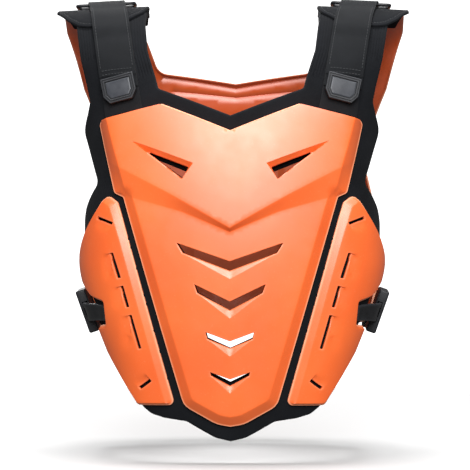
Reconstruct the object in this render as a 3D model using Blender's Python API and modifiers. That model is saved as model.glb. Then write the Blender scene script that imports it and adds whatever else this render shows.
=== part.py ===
"""A motorcycle chest protector, worn: orange front, flank and back shells on black foam, with webbing.

Every piece is drawn flat and then laid on one torso shape. Its pattern has three coordinates:
across, the girth from the body's middle; run, the way down the front from the shoulder line, and
down the back where it is negative; and lift, the height off the skin. The origin is on the skin,
midway between the shoulders. The front faces -Y, +X is the viewer's right and +Z is up.
Lengths are in metres.
"""
import math
from bisect import bisect_right
from functools import lru_cache

import bmesh
import bpy
from mathutils import Matrix, Vector
from mathutils.geometry import delaunay_2d_cdt

COLLECTION = "chest_protector"
CUTTERS = "cutters"

# The torso that it is worn on
TORSO_HALF = 0.168
SIDE_RADIUS = 0.0634
CHEST_TURN = math.radians(17)
CHEST_DEPTH = 0.127
CHEST_HEIGHT = 0.512
BACK_DEPTH = 0.114
BACK_HEIGHT = 0.412
YOKE_TOP = 0.055
YOKE_FOOT = 0.255
SHOULDER_SLOPE = 0.05
WAIST_TOP = 0.365
WAIST_FOOT = 0.555
WAIST_SHARE = 0.72

# Walls, seats and clearances
FOAM = 0.008
SHELL = 0.003
SEAT_GAP = 0.0003
WEB_GAP = 0.0009
WEB = 0.0013
FLAP = 0.003

# The front plate
CHEST_HALF = 0.153
COLLAR_RUN = 0.2141
PLATE_LENGTH = 0.3408
CORNER = 0.006
EDGE_BEVEL = 0.0025
CHEST_BEVEL = 0.0155
PANEL_BEVEL = 0.013
CHEST_RISE = 0.013
PANEL_RISE = 0.007
EYE_DIP = 0.0055
EYE_BAND = 0.006
EYE_END = 0.0026
GLINT_DIP = 0.003
FOAM_EASE = 0.0012

# The flank shells
WING_GAP = 0.0077
WING_WIDTH = 0.0923
WING_LENGTH = 0.2467
WING_LEAD = 0.0023
WING_RISE = 0.0035
WING_BEVEL = 0.009
WING_EDGE = 0.0028
WING_FOAM_INSET = 0.005
SLOT_WIDTH = 0.0034
SLOT_OUT = 0.0227

# The foam's shoulder arms and margins
COLLAR_BAND = 0.0187
FOOT_BAND = 0.0186
ARM_CENTRE = 0.1437
ARM_WIDTH = 0.082
ARM_OVER = 0.014

# The shoulder straps, their rings and flaps
STRAP_WIDTH = 0.044
STRAP_TOP_CENTRE = 0.1545
STRAP_LEAN = 0.166
RING_WIDTH = 0.070
RING_DEPTH = 0.022
RING_ROD = 0.004
RING_BACK = 0.005
RING_CORNER = 0.005
BADGE_WIDTH = 0.040
BADGE_HEIGHT = 0.031
BADGE_THICK = 0.0045
BADGE_FRAME = 0.0045
BADGE_STEP = 0.0014
BADGE_GAP = 0.0007
BADGE_RUN = 0.1605
STRAP_FOLD_RUN = 0.158
STRAP_END_SHARE = 0.88
STRAP_SETTLE = 0.035
FLAP_CLEAR = 0.004
FLAP_RAMP = 0.018
FLAP_INNER = 0.1015
FLAP_OUTER = 0.2115
FLAP_FRONT = 0.074
FLAP_BACK = 0.054
ANCHOR_WIDTH = 0.040
ANCHOR_LENGTH = 0.052

# The back plate
BACK_HALF = 0.212
BACK_LENGTH = 0.449
BACK_RISE = 0.004
BACK_BEVEL = 0.010
HORN_FOOT = 0.095
HORN_RAMP = 0.040
SPINE_HALF = 0.052
SPINE_RISE = 0.005
SPINE_EDGE = 0.008
RIB_RISE = 0.0028
RIB_HALF = 0.0035

# The side buckles
BUCKLE_ACROSS = 0.2085
BUCKLE_LONG = 0.034
BUCKLE_TALL = 0.053
BUCKLE_THICK = 0.0125
BUCKLE_LIFT = 0.0175
BUCKLE_CHAMFER = 0.002
POCKET_DEPTH = 0.015
POCKET_TALL = 0.0245
POCKET_DROP = 0.0009
TONGUE_TALL = 0.0218
TONGUE_THICK = 0.0032
TONGUE_GAP = 0.0016
BAR = 0.004
SLOT_TALL = 0.044
BAR_ROOM = 0.0072
BELT_WIDTH = 0.040
BELT_OVERLAP = 0.036
BELT_GAP = 0.0018
BELT_FOLD = 0.022
BELT_SQUARE = 0.010
BELT_SHARE = 0.562
TONGUE_ROOT = 0.84
TONGUE_SHOULDER = 0.010
TONGUE_SHORT = 0.004

# Levels that follow from the walls and gaps
SEAT = FOAM + SEAT_GAP
RIM = SEAT + SHELL
FLAP_TOP = SEAT + FLAP
BACK_SEAT = FLAP_TOP + SEAT_GAP
BACK_RIM = BACK_SEAT + SHELL

# Name, depth and height as shares of the torso's depth and height
FRONT_PROFILE = (
    ("shoulder line", 0.000, 0.000),
    ("shoulder front", 0.276, 0.012),
    ("collarbone", 0.543, 0.051),
    ("upper chest", 0.736, 0.117),
    ("chest", 0.858, 0.203),
    ("breastbone", 0.937, 0.307),
    ("rib edge", 0.984, 0.424),
    ("fullest", 1.000, 0.551),
    ("belly", 0.976, 0.688),
    ("waist", 0.913, 0.844),
    ("hip", 0.827, 1.000),
)
BACK_PROFILE = (
    ("shoulder line", 0.000, 0.000),
    ("shoulder back", 0.307, 0.015),
    ("neck foot", 0.605, 0.063),
    ("upper back", 0.803, 0.146),
    ("shoulder blade", 0.921, 0.252),
    ("mid back", 0.982, 0.381),
    ("fullest", 1.000, 0.527),
    ("lower back", 0.965, 0.685),
    ("waist", 0.904, 0.854),
    ("hip", 0.842, 1.000),
)

# Name, across as a share of CHEST_HALF, down (1 at the collar notch, 2 at the foot), corner share
# of CORNER, and the width of the edge that starts there
PLATE_OUTLINE = (
    ("collar notch", 0.000, 1.000, 0.0, EDGE_BEVEL),
    ("collar peak", 0.511, 0.847, 0.4, EDGE_BEVEL),
    ("shoulder corner", 1.000, 0.911, 1.2, CHEST_BEVEL),
    ("side corner", 0.869, 1.206, 1.0, 0.5 * PANEL_BEVEL),
    ("side step", 0.804, 1.221, 0.5, PANEL_BEVEL),
    ("foot corner", 0.344, 1.930, 3.0, PANEL_BEVEL),
    ("foot", 0.100, 1.992, 5.0, PANEL_BEVEL),
    ("tip", 0.000, 2.000, 0.0, 0.0),
)
# The step under the chest block: name, across share, down
STEP_TOP = (("centre", 0.000, 1.3283), ("middle", 0.441, 1.2116), ("side", 1.000, 1.0740))
STEP_FOOT = (("centre", 0.000, 1.3404), ("middle", 0.350, 1.2723), ("side", 0.804, 1.2130))
# The slanted vent: its sunk face and the hole in it
EYE_FACE = (("tip", 0.712, 1.0317), ("inner top", 0.259, 1.1139), ("foot", 0.339, 1.1670))
EYE_HOLE = (("tip", 0.612, 1.0684), ("inner top", 0.299, 1.1262), ("foot", 0.337, 1.1655))
# The foam's hole behind it shows a band of foam along the top
EYE_FOAM = (("tip", 0.540, 1.0960), ("inner top", 0.308, 1.1395), ("foot", 0.334, 1.1640))
# Chevron vents: tip, outer foot, then the centre line's top, foot and the sunk face's foot
CHEVRONS = (
    ("first", 0.384, 1.3768, 0.339, 1.4099, 1.4375, 1.4689, 1.4950),
    ("second", 0.256, 1.5135, 0.234, 1.5425, 1.5704, 1.6006, 1.6265),
    ("third", 0.175, 1.6734, 0.161, 1.6960, 1.7039, 1.7286, 1.7550),
    ("fourth", 0.143, 1.8084, 0.135, 1.8207, 1.8327, 1.8565, 1.8803),
)
# Share of each chevron's height that the foam behind leaves open
CHEVRON_OPEN = (1.0, 1.0, 1.0, 0.55)

# Name, out as a share of WING_WIDTH from the inner edge, down as a share of WING_LENGTH, corner share
WING_OUTLINE = (
    ("inner top", 0.000, 0.034, 1.0, WING_BEVEL),
    ("tip", 0.086, 0.000, 1.0, WING_EDGE),
    ("outer top", 0.200, 0.026, 1.0, WING_EDGE),
    ("shoulder", 0.598, 0.167, 4.0, WING_EDGE),
    ("flank", 0.961, 0.298, 4.0, WING_EDGE),
    ("widest", 1.000, 0.347, 3.0, WING_EDGE),
    ("above notch", 0.934, 0.426, 3.0, WING_EDGE),
    ("notch top", 0.748, 0.489, 0.5, WING_EDGE),
    ("notch inner top", 0.562, 0.508, 0.4, WING_EDGE),
    ("notch inner foot", 0.622, 0.616, 0.4, WING_EDGE),
    ("notch foot", 0.816, 0.630, 0.5, WING_EDGE),
    ("below notch", 0.758, 0.752, 3.0, WING_EDGE),
    ("low", 0.651, 0.847, 3.0, WING_EDGE),
    ("foot outer", 0.496, 1.000, 0.8, WING_EDGE),
    ("foot inner", 0.026, 0.990, 1.0, WING_BEVEL),
)
# Slots along the inner crease: name, top and foot down
WING_SLOTS = (("high", 0.276, 0.392), ("middle", 0.430, 0.528), ("low", 0.566, 0.723))
# Slanted slots: name, then out and down of the outer and the inner end
WING_SLASHES = (("top", 0.293, 0.106, 0.127, 0.136), ("foot", 0.385, 0.912, 0.228, 0.871))

# The foam above the flank shells: name, across as a share of CHEST_HALF, down, corner share
PAD_SIDE = (
    ("armpit", 1.108, 0.786, 1.5),
    ("bulge top", 1.140, 0.845, 1.0),
    ("bulge", 1.218, 0.944, 3.0),
    ("waist", 1.035, 1.165, 1.5),
    ("wing top", 1.223, 1.246, 3.0),
)
PAD_NECK = (
    ("collar corner", 0.551, 0.752, 1.0),
    ("neck low", 0.584, 0.662, 2.0),
    ("neck", 0.642, 0.517, 4.0),
)
# The foam under the flank shell's outer edge: name, out and down in the flank shell's shares
PAD_FLANK = (("widest", 1.060, 0.170, 3.0), ("belt", 0.830, 0.480, 3.0), ("flank", 0.690, 0.740, 3.0))
# The foam's foot: name, across as a share of CHEST_HALF, down as a share of FOOT_BAND under the plate, corner
PAD_FOOT = (
    ("hem outer", 0.725, -2.60, 2.0),
    ("foot outer", 0.680, -1.08, 2.0),
    ("foot corner", 0.600, -0.58, 2.0),
    ("foot low", 0.500, -0.37, 2.0),
    ("foot", 0.330, -0.22, 2.0),
    ("tongue", 0.115, 0.78, 4.0),
    ("tip", 0.000, 1.00, 0.0),
)

# Name, across as a share of BACK_HALF, run as a share of BACK_LENGTH, corner share, edge width
BACK_OUTLINE = (
    ("neck middle", 0.000, 0.313, 0.0, EDGE_BEVEL),
    ("neck side", 0.456, 0.278, 3.0, EDGE_BEVEL),
    ("neck rise", 0.480, 0.180, 3.0, EDGE_BEVEL),
    ("horn inner", 0.490, 0.060, 1.0, EDGE_BEVEL),
    ("horn outer", 0.985, 0.060, 1.0, EDGE_BEVEL),
    ("arm edge", 0.990, 0.145, 4.0, EDGE_BEVEL),
    ("arm edge low", 0.920, 0.298, 4.0, EDGE_BEVEL),
    ("armhole", 0.772, 0.460, 4.0, BACK_BEVEL),
    ("armhole foot", 0.770, 0.555, 4.0, BACK_BEVEL),
    ("flank", 0.880, 0.725, 4.0, BACK_BEVEL),
    ("belt top", 0.890, 0.872, 1.0, EDGE_BEVEL),
    ("belt foot", 0.880, 0.976, 1.0, EDGE_BEVEL),
    ("foot corner", 0.600, 0.994, 3.0, BACK_BEVEL),
    ("foot middle", 0.000, 1.000, 0.0, 0.0),
)
# Ribs that follow the neck: how far below it at the middle, and across and run at the side
BACK_RIBS = (
    ("upper", 0.328, 0.425, 0.292),
    ("lower", 0.353, 0.362, 0.333),
)

# Grid on which every piece bends: up to which place, and the spacing until there
ACROSS_GRID = ((0.120, 0.030), (0.360, 0.016))
RUN_GRID = ((0.100, 0.020), (0.740, 0.042))
# The most that a rounded corner turns between two of its points
ROUND_STEP = math.radians(46)


def smooth(value, low, high):
    """0 below low, 1 above high, with an even turn between."""
    share = min(1, max(0, (value - low) / (high - low)))
    return share * share * (3 - 2 * share)


def spline(points, steps=12):
    """A smooth line through the points (Catmull-Rom)."""
    ends = [2 * points[0] - points[1], *points, 2 * points[-1] - points[-2]]
    line = []
    for a, b, c, d in zip(ends, ends[1:], ends[2:], ends[3:]):
        for step in range(steps):
            t = step / steps
            bend = (c - a) * t + (2 * a - 5 * b + 4 * c - d) * t ** 2 + (3 * b - a - 3 * c + d) * t ** 3
            line.append(b + bend / 2)
    return [*line, points[-1]]


def profile_line(rows, depth, height):
    points = spline([Vector((depth * out, -height * down)) for name, out, down in rows])
    lengths = [0]
    for start, end in zip(points, points[1:]):
        lengths.append(lengths[-1] + (end - start).length)
    return points, lengths


PROFILES = {
    1: profile_line(FRONT_PROFILE, -CHEST_DEPTH, CHEST_HEIGHT),
    -1: profile_line(BACK_PROFILE, BACK_DEPTH, BACK_HEIGHT),
}


def profile(run):
    """The body's middle line at a run: the point, in Y and Z."""
    points, lengths = PROFILES[1 if run >= 0 else -1]
    place_along = abs(run)
    if place_along >= lengths[-1]:
        ahead = (points[-1] - points[-2]).normalized()
        return points[-1] + ahead * (place_along - lengths[-1])
    index = bisect_right(lengths, place_along) - 1
    share = (place_along - lengths[index]) / (lengths[index + 1] - lengths[index])
    return points[index].lerp(points[index + 1], share)


def section(across):
    """The torso's round: how far out, and how far back from the middle line, a girth lies."""
    turn = math.sin(CHEST_TURN)
    flat_radius = (TORSO_HALF - SIDE_RADIUS * (1 - turn)) / turn
    flat_girth = flat_radius * CHEST_TURN
    if across <= flat_girth:
        angle = across / flat_radius
        return flat_radius * math.sin(angle), flat_radius * (1 - math.cos(angle))
    out = flat_radius * turn
    back = flat_radius * (1 - math.cos(CHEST_TURN))
    angle = CHEST_TURN + (across - flat_girth) / SIDE_RADIUS
    past = max(0, angle - math.pi / 2) * SIDE_RADIUS
    angle = min(angle, math.pi / 2)
    out += SIDE_RADIUS * (math.sin(angle) - turn)
    back += SIDE_RADIUS * (math.cos(CHEST_TURN) - math.cos(angle))
    return out, back + past


def skin(across, run):
    flat = 1 - smooth(abs(run), YOKE_TOP, YOKE_FOOT)
    waist = 1 - (1 - WAIST_SHARE) * smooth(abs(run), WAIST_TOP, WAIST_FOOT)
    out, back = section(across / waist)
    out = out * waist * (1 - flat) + across * flat
    back = back * waist * (1 - flat) + across * SHOULDER_SLOPE * flat
    step = 0.002
    point = profile(run)
    ahead = (profile(run + step) - profile(run - step)).normalized()
    return Vector((out, point.x - ahead.y * back, point.y + ahead.x * back))


def grid_lines(rows):
    lines = [0.0]
    for limit, step in rows:
        while lines[-1] < limit - step / 2:
            lines.append(lines[-1] + step)
    return lines


ACROSS_LINES = grid_lines(ACROSS_GRID)
HALF_RUN_LINES = grid_lines(RUN_GRID)
RUN_LINES = [-run for run in reversed(HALF_RUN_LINES[1:])] + HALF_RUN_LINES


@lru_cache(maxsize=None)
def knot(column, row):
    """A grid point's place on the skin and the way out of the skin there."""
    across, run, step = ACROSS_LINES[column], RUN_LINES[row], 0.0005
    girth = skin(across + step, run) - skin(max(0, across - step), run)
    down = skin(across, run + step) - skin(across, run - step)
    out = down.cross(girth).normalized()
    if column == 0:
        out = Vector((0, out.y, out.z)).normalized()
    return skin(across, run), out


def place(across, run, lift):
    """The point in space of a pattern place. Between grid points the skin is flat triangles."""
    side = -1 if across < 0 else 1
    across = abs(across)
    column = min(bisect_right(ACROSS_LINES, across), len(ACROSS_LINES) - 1) - 1
    row = min(bisect_right(RUN_LINES, run), len(RUN_LINES) - 1) - 1
    share = (across - ACROSS_LINES[column]) / (ACROSS_LINES[column + 1] - ACROSS_LINES[column])
    drop = (run - RUN_LINES[row]) / (RUN_LINES[row + 1] - RUN_LINES[row])
    corner, opposite = knot(column, row), knot(column + 1, row + 1)
    if share >= drop:
        middle = knot(column + 1, row)
        weights = (1 - share, share - drop, drop)
    else:
        middle = knot(column, row + 1)
        weights = (1 - drop, drop - share, share)
    point, out = Vector(), Vector()
    for weight, (where, way) in zip(weights, (corner, middle, opposite)):
        point += weight * where
        out += weight * way
    point += out * lift
    return Vector((side * point.x, point.y, point.z))


def frame_at(across, run, lift):
    """A local frame on the torso: X along the girth, Y up the body, Z out of the skin."""
    step = 0.004
    origin = place(across, run, lift)
    girth = place(across + step, run, lift) - place(across - step, run, lift)
    rise = place(across, run - step, lift) - place(across, run + step, lift)
    out = girth.cross(rise).normalized()
    girth.normalize()
    rise = out.cross(girth)
    matrix = Matrix((girth, rise, out)).transposed().to_4x4()
    matrix.translation = origin
    return matrix


def down_at(share):
    """The run of a down share: 0 at the shoulder line, 1 at the collar notch, 2 at the foot."""
    if share <= 1:
        return share * COLLAR_RUN
    return COLLAR_RUN + (share - 1) * PLATE_LENGTH


def front_spot(across_share, down_share):
    return Vector((across_share * CHEST_HALF, down_at(down_share)))


def table_row(rows, name):
    return next(row for row in rows if row[0] == name)


def table_spot(rows, name):
    row = table_row(rows, name)
    return front_spot(row[1], row[2])


def plate_side(run):
    """How far out the front plate's lower side edge is at a run."""
    top = table_spot(PLATE_OUTLINE, "side step")
    foot = table_spot(PLATE_OUTLINE, "foot corner")
    return top.x + (run - top.y) * (foot.x - top.x) / (foot.y - top.y)


def wing_spot(out_share, down_share):
    top = table_spot(PLATE_OUTLINE, "side corner").y + WING_LEAD
    run = top + down_share * WING_LENGTH
    return Vector((plate_side(run) + WING_GAP + out_share * WING_WIDTH, run))


def round_corners(corners, radii, widths=None, closed=True):
    """The outline with its corners rounded, and the width of the edge at each of its points."""
    count = len(corners)
    widths = widths or [0] * count
    points, edges = [], []
    for index, (corner, radius) in enumerate(zip(corners, radii)):
        before, after = corners[index - 1], corners[(index + 1) % count]
        last, width = widths[index - 1], widths[index]
        end = not closed and index in (0, count - 1)
        if radius <= 0 or end:
            points.append(corner.copy())
            edges.append(max(last, width))
            continue
        back = (before - corner).normalized()
        ahead = (after - corner).normalized()
        half = math.acos(max(-1, min(1, back.dot(ahead)))) / 2
        room = 0.48 * min((before - corner).length, (after - corner).length)
        cut = min(radius / math.tan(half), room)
        radius = cut * math.tan(half)
        centre = corner + (back + ahead).normalized() * (radius / math.sin(half))
        start = corner + back * cut - centre
        turn = math.pi - 2 * half
        sense = 1 if back.x * ahead.y - back.y * ahead.x < 0 else -1
        steps = max(1, math.ceil(turn / ROUND_STEP))
        for step in range(steps + 1):
            points.append(centre + Matrix.Rotation(sense * turn * step / steps, 2) @ start)
            edges.append(last + (width - last) * step / steps)
    return points, edges


def offset_corners(corners, widths):
    """The outline moved inwards by each edge's own width; it is walked with its inside on one side."""
    count = len(corners)
    area = sum(a.x * b.y - b.x * a.y for a, b in zip(corners, corners[1:] + corners[:1]))
    sense = 1 if area > 0 else -1
    lines = []
    for index in range(count):
        start, end = corners[index], corners[(index + 1) % count]
        ahead = (end - start).normalized()
        shift = Vector((-ahead.y, ahead.x)) * sense * widths[index]
        lines.append((start + shift, end + shift))
    moved = []
    for index in range(count):
        (a, b), (c, d) = lines[index - 1], lines[index]
        cross = (b - a).cross(d - c)
        if abs(cross) < 1e-9:
            moved.append(c.copy())
            continue
        moved.append(a + (b - a) * ((c - a).cross(d - c) / cross))
    return moved


def inside(point, loop):
    hits = False
    for start, end in zip(loop, loop[1:] + loop[:1]):
        if (start.y > point.y) != (end.y > point.y):
            crossing = start.x + (point.y - start.y) * (end.x - start.x) / (end.y - start.y)
            hits ^= point.x < crossing
    return hits


def stations(lines, start, end, extra=()):
    """The places from start to end at which a band has to bend with the torso."""
    low, high = min(start, end), max(start, end)
    stops = {start, end, *(stop for stop in (*lines, *extra) if low + 0.002 < stop < high - 0.002)}
    return sorted(stops, reverse=start > end)


def segment_distance(point, start, end):
    """Distance from a segment, and the share along it of the nearest place."""
    line = end - start
    share = max(0, min(1, (point - start).dot(line) / max(line.length_squared, 1e-12)))
    return (point - start - line * share).length, share


class Rim:
    """An outline whose edges rise to the face over their own widths, but for those on the middle line."""

    def __init__(self, corners, radii, widths):
        self.points, self.widths = round_corners(corners, radii, widths)
        self.inner = offset_corners(corners, widths)

    def share(self, point):
        """0 on the outline, 1 on the face."""
        best = 1.0
        count = len(self.points)
        for index in range(count):
            following = (index + 1) % count
            start_width, end_width = self.widths[index], self.widths[following]
            if max(self.points[index].x, self.points[following].x) < 1e-6:
                continue
            distance, along = segment_distance(point, self.points[index], self.points[following])
            width = start_width + (end_width - start_width) * along
            if width > 0:
                best = min(best, distance / width)
        return best


def grid_edges(low, high):
    """The bending grid's points and edges that cover a pattern's box."""
    columns = [i for i in range(len(ACROSS_LINES) - 1)
               if ACROSS_LINES[i + 1] > low.x and ACROSS_LINES[i] < high.x]
    rows = [i for i in range(len(RUN_LINES) - 1)
            if RUN_LINES[i + 1] > low.y and RUN_LINES[i] < high.y]
    edges = set()
    for column in columns:
        for row in rows:
            here, far = (column, row), (column + 1, row + 1)
            beside, below = (column + 1, row), (column, row + 1)
            edges.update({(here, beside), (here, below), (here, far), (beside, far), (below, far)})
    return edges


def flat_net(outline, holes, creases):
    """The pattern cut into triangles along its outline, holes, creases and the bending grid."""
    places, edges = [], []

    def add(points, closed):
        first = len(places)
        places.extend(points)
        edges.extend((first + i, first + i + 1) for i in range(len(points) - 1))
        if closed:
            edges.append((first + len(points) - 1, first))

    add(outline, True)
    for hole in holes:
        add(hole, True)
    for crease in creases:
        add(crease, False)
    low = Vector((min(p.x for p in outline), min(p.y for p in outline)))
    high = Vector((max(p.x for p in outline), max(p.y for p in outline)))
    index_of = {}
    for edge in sorted(grid_edges(low, high)):
        for column, row in edge:
            if (column, row) not in index_of:
                index_of[column, row] = len(places)
                places.append(Vector((ACROSS_LINES[column], RUN_LINES[row])))
        edges.append((index_of[edge[0]], index_of[edge[1]]))
    points, _, faces, *_ = delaunay_2d_cdt(places, edges, [], 0, 2e-5)
    kept = []
    for face in faces:
        centre = sum((points[i] for i in face), Vector((0, 0))) / len(face)
        if inside(centre, outline) and not any(inside(centre, hole) for hole in holes):
            kept.append(face)
    return points, kept


def new_object(name, mesh, material, collection=COLLECTION):
    piece = bpy.data.objects.new(name, mesh)
    bpy.data.collections[collection].objects.link(piece)
    if material:
        mesh.materials.append(bpy.data.materials[material])
    return piece


def sheet(name, material, outline, top, base, holes=(), creases=(), half=False):
    """A closed solid between the lifts top(point) and base(point) over a pattern."""
    points, faces = flat_net(outline, holes, creases)
    body = bmesh.new()
    used = sorted({index for face in faces for index in face})
    corner_of = {index: body.verts.new((points[index].x, points[index].y, 0)) for index in used}
    for face in faces:
        body.faces.new([corner_of[index] for index in face])
    raised = bmesh.ops.extrude_face_region(body, geom=body.faces[:])["geom"]
    upper = {part for part in raised if isinstance(part, bmesh.types.BMVert)}
    for corner in body.verts:
        corner.co.z = 1 if corner in upper else 0
    bmesh.ops.recalc_face_normals(body, faces=body.faces[:])
    bmesh.ops.reverse_faces(body, faces=body.faces[:])
    if half:
        middle = [face for face in body.faces if all(abs(v.co.x) < 1e-6 for v in face.verts)]
        bmesh.ops.delete(body, geom=middle, context="FACES")
    for corner in body.verts:
        point = corner.co.xy.copy()
        lift = top(point) if corner in upper else base(point)
        corner.co = place(point.x, point.y, lift)
        if half and abs(point.x) < 1e-6:
            corner.co.x = 0
    mesh = bpy.data.meshes.new(name)
    body.to_mesh(mesh)
    body.free()
    piece = new_object(name, mesh, material)
    if half:
        mirror = piece.modifiers.new("other half", "MIRROR")
        mirror.merge_threshold = 0.00005
    return piece


def band(name, material, path, thickness, width, spot, spans=3):
    """A webbing band: a path of (along, lift) places, thickened and drawn out across its width."""
    outer, inner = [], []
    for index, here in enumerate(path):
        back = path[max(0, index - 1)]
        ahead = path[min(len(path) - 1, index + 1)]
        way = (ahead - back).normalized()
        side = Vector((-way.y, way.x)) * thickness / 2
        outer.append(here + side)
        inner.append(here - side)
    body = bmesh.new()
    rows = []
    for step in range(spans + 1):
        sideways = width * (step / spans - 0.5)
        rows.append([[body.verts.new(spot(p.x, sideways, p.y)) for p in line] for line in (outer, inner)])
    last = len(path) - 1
    for this, following in zip(rows, rows[1:]):
        for line in (0, 1):
            for k in range(last):
                body.faces.new((this[line][k], this[line][k + 1], following[line][k + 1], following[line][k]))
        for k in (0, last):
            body.faces.new((this[0][k], this[1][k], following[1][k], following[0][k]))
    for row in (rows[0], rows[-1]):
        for k in range(last):
            body.faces.new((row[0][k], row[0][k + 1], row[1][k + 1], row[1][k]))
    bmesh.ops.recalc_face_normals(body, faces=body.faces[:])
    mesh = bpy.data.meshes.new(name)
    body.to_mesh(mesh)
    body.free()
    return new_object(name, mesh, material)


def half_turn(centre, radius, start, sense, steps=4):
    """Points of a half circle in the (along, lift) plane; sense is 1 or -1, the way it turns."""
    points = []
    for step in range(steps + 1):
        angle = start + sense * math.pi * step / steps
        points.append(centre + Vector((math.cos(angle), math.sin(angle))) * radius)
    return points


def other_side(piece, name):
    """The same piece on the body's other side."""
    graph = bpy.context.evaluated_depsgraph_get()
    graph.update()
    mesh = bpy.data.meshes.new_from_object(piece.evaluated_get(graph))
    mesh.name = name
    mesh.transform(Matrix.Scale(-1, 4, (1, 0, 0)) @ piece.matrix_world)
    mesh.flip_normals()
    return new_object(name, mesh, None)


def make_material(name, colour, roughness):
    material = bpy.data.materials.new(name)
    material.use_nodes = True
    shader = material.node_tree.nodes["Principled BSDF"]
    shader.inputs["Base Color"].default_value = (*colour, 1)
    shader.inputs["Roughness"].default_value = roughness
    shader.inputs["Metallic"].default_value = 0
    material.diffuse_color = (*colour, 1)


def chevron_loops():
    """Each chevron vent's hole as a closed half outline, and its sunk face's foot."""
    loops = []
    for name, tip, tip_down, low, low_down, top, foot, glint in CHEVRONS:
        corners = [front_spot(0, top), front_spot(tip, tip_down), front_spot(low, low_down), front_spot(0, foot)]
        loops.append((corners, front_spot(0, glint)))
    return loops


def across_middle(loop, reach=0.004):
    """A half outline carried past the middle line, so that it cuts the middle cleanly."""
    first, last = loop[0], loop[-1]
    return [Vector((-reach, first.y)), *loop[0:1], *loop[1:], Vector((-reach, last.y))]


def plate_rim():
    corners = [front_spot(across, down) for name, across, down, corner, width in PLATE_OUTLINE]
    radii = [corner * CORNER for name, across, down, corner, width in PLATE_OUTLINE]
    return Rim(corners, radii, [row[4] for row in PLATE_OUTLINE])


def line_at(rows, across):
    """The run of a table's line at a place across."""
    spots = [front_spot(row[1], row[2]) for row in rows]
    for start, end in zip(spots, spots[1:]):
        if across <= end.x or end is spots[-1]:
            return start.y + (across - start.x) * (end.y - start.y) / (end.x - start.x)
    return spots[-1].y


def make_front_plate():
    rim = plate_rim()
    eye_face = [front_spot(row[1], row[2]) for row in EYE_FACE]
    eye_hole = [front_spot(row[1], row[2]) for row in EYE_HOLE]
    chevrons = chevron_loops()

    def eye_dip(point):
        if not inside(point, eye_face):
            return 0
        upper = segment_distance(point, eye_face[0], eye_face[1])[0] / EYE_BAND
        end = segment_distance(point, eye_face[1], eye_face[2])[0] / EYE_END
        return EYE_DIP * min(1, upper, end)

    def glint_dip(point):
        for corners, glint in chevrons:
            if point.y < corners[2].y - 1e-6 or point.x > corners[2].x + 1e-6:
                continue
            edge = corners[3].y + (corners[2].y - corners[3].y) * point.x / corners[2].x
            foot = glint.y + (corners[2].y - glint.y) * point.x / corners[2].x
            if edge - 1e-5 <= point.y <= foot and foot - edge > 1e-6:
                return GLINT_DIP * (foot - point.y) / (foot - edge) * (1 - point.x / corners[2].x)
        return 0

    def top(point):
        upper, lower = line_at(STEP_TOP, point.x), line_at(STEP_FOOT, point.x)
        step = min(1, max(0, (point.y - upper) / max(lower - upper, 1e-6)))
        rise = CHEST_RISE + (PANEL_RISE - CHEST_RISE) * step
        return RIM + rise * rim.share(point) - eye_dip(point) - glint_dip(point)

    creases = [
        rim.inner,
        [front_spot(row[1], row[2]) for row in STEP_TOP],
        [front_spot(row[1], row[2]) for row in STEP_FOOT],
        [*eye_face, eye_face[0]],
        *([corners[2], glint] for corners, glint in chevrons),
    ]
    holes = [eye_hole, *(across_middle(corners) for corners, glint in chevrons)]
    return sheet("front_plate", "orange_shell", rim.points, top, lambda point: top(point) - SHELL,
                 holes, creases, half=True)


def grown(loop, ease):
    """A vent's loop made larger all round."""
    return offset_corners(loop, [-ease] * len(loop))


def make_front_pad():
    arm_inner = ARM_CENTRE - ARM_WIDTH / 2
    arm_outer = ARM_CENTRE + ARM_WIDTH / 2
    rows = [(Vector((0, COLLAR_RUN - COLLAR_BAND)), 0)]
    rows += [(front_spot(across, down), corner) for name, across, down, corner in PAD_NECK]
    rows += [
        (Vector((arm_inner, 0.30 * COLLAR_RUN)), 4),
        (Vector((arm_inner, -ARM_OVER)), 0.5),
        (Vector((arm_outer, -ARM_OVER)), 0.5),
        (Vector((arm_outer, 0.30 * COLLAR_RUN)), 4),
        (Vector((arm_outer - 0.06 * ARM_WIDTH, 0.54 * COLLAR_RUN)), 4),
    ]
    rows += [(front_spot(across, down), corner) for name, across, down, corner in PAD_SIDE]
    rows += [(wing_spot(out, down) - Vector((WING_FOAM_INSET, 0)), corner)
             for name, out, down, corner in PAD_FLANK]
    rows += [(Vector((across * CHEST_HALF, down_at(2) + share * FOOT_BAND)), corner)
             for name, across, share, corner in PAD_FOOT]
    outline = round_corners([spot for spot, corner in rows], [corner * CORNER for spot, corner in rows])[0]
    holes = [[front_spot(row[1], row[2]) for row in EYE_FOAM]]
    for (corners, glint), open_share in zip(chevron_loops(), CHEVRON_OPEN):
        top_middle, tip, low, foot_middle = corners
        foot_middle = top_middle.lerp(foot_middle, open_share)
        low = tip.lerp(low, open_share)
        mirror = [Vector((-tip.x, tip.y)), Vector((-low.x, low.y))]
        full = grown([top_middle, tip, low, foot_middle, mirror[1], mirror[0]], FOAM_EASE)
        holes.append(full)
    return sheet("front_pad", "foam", outline, lambda point: FOAM, lambda point: 0, holes, half=True)


def slot_loop(start, end, width):
    ahead = (end - start).normalized()
    side = Vector((-ahead.y, ahead.x)) * width / 2
    return [start + side, end + side, end - side, start - side]


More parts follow.
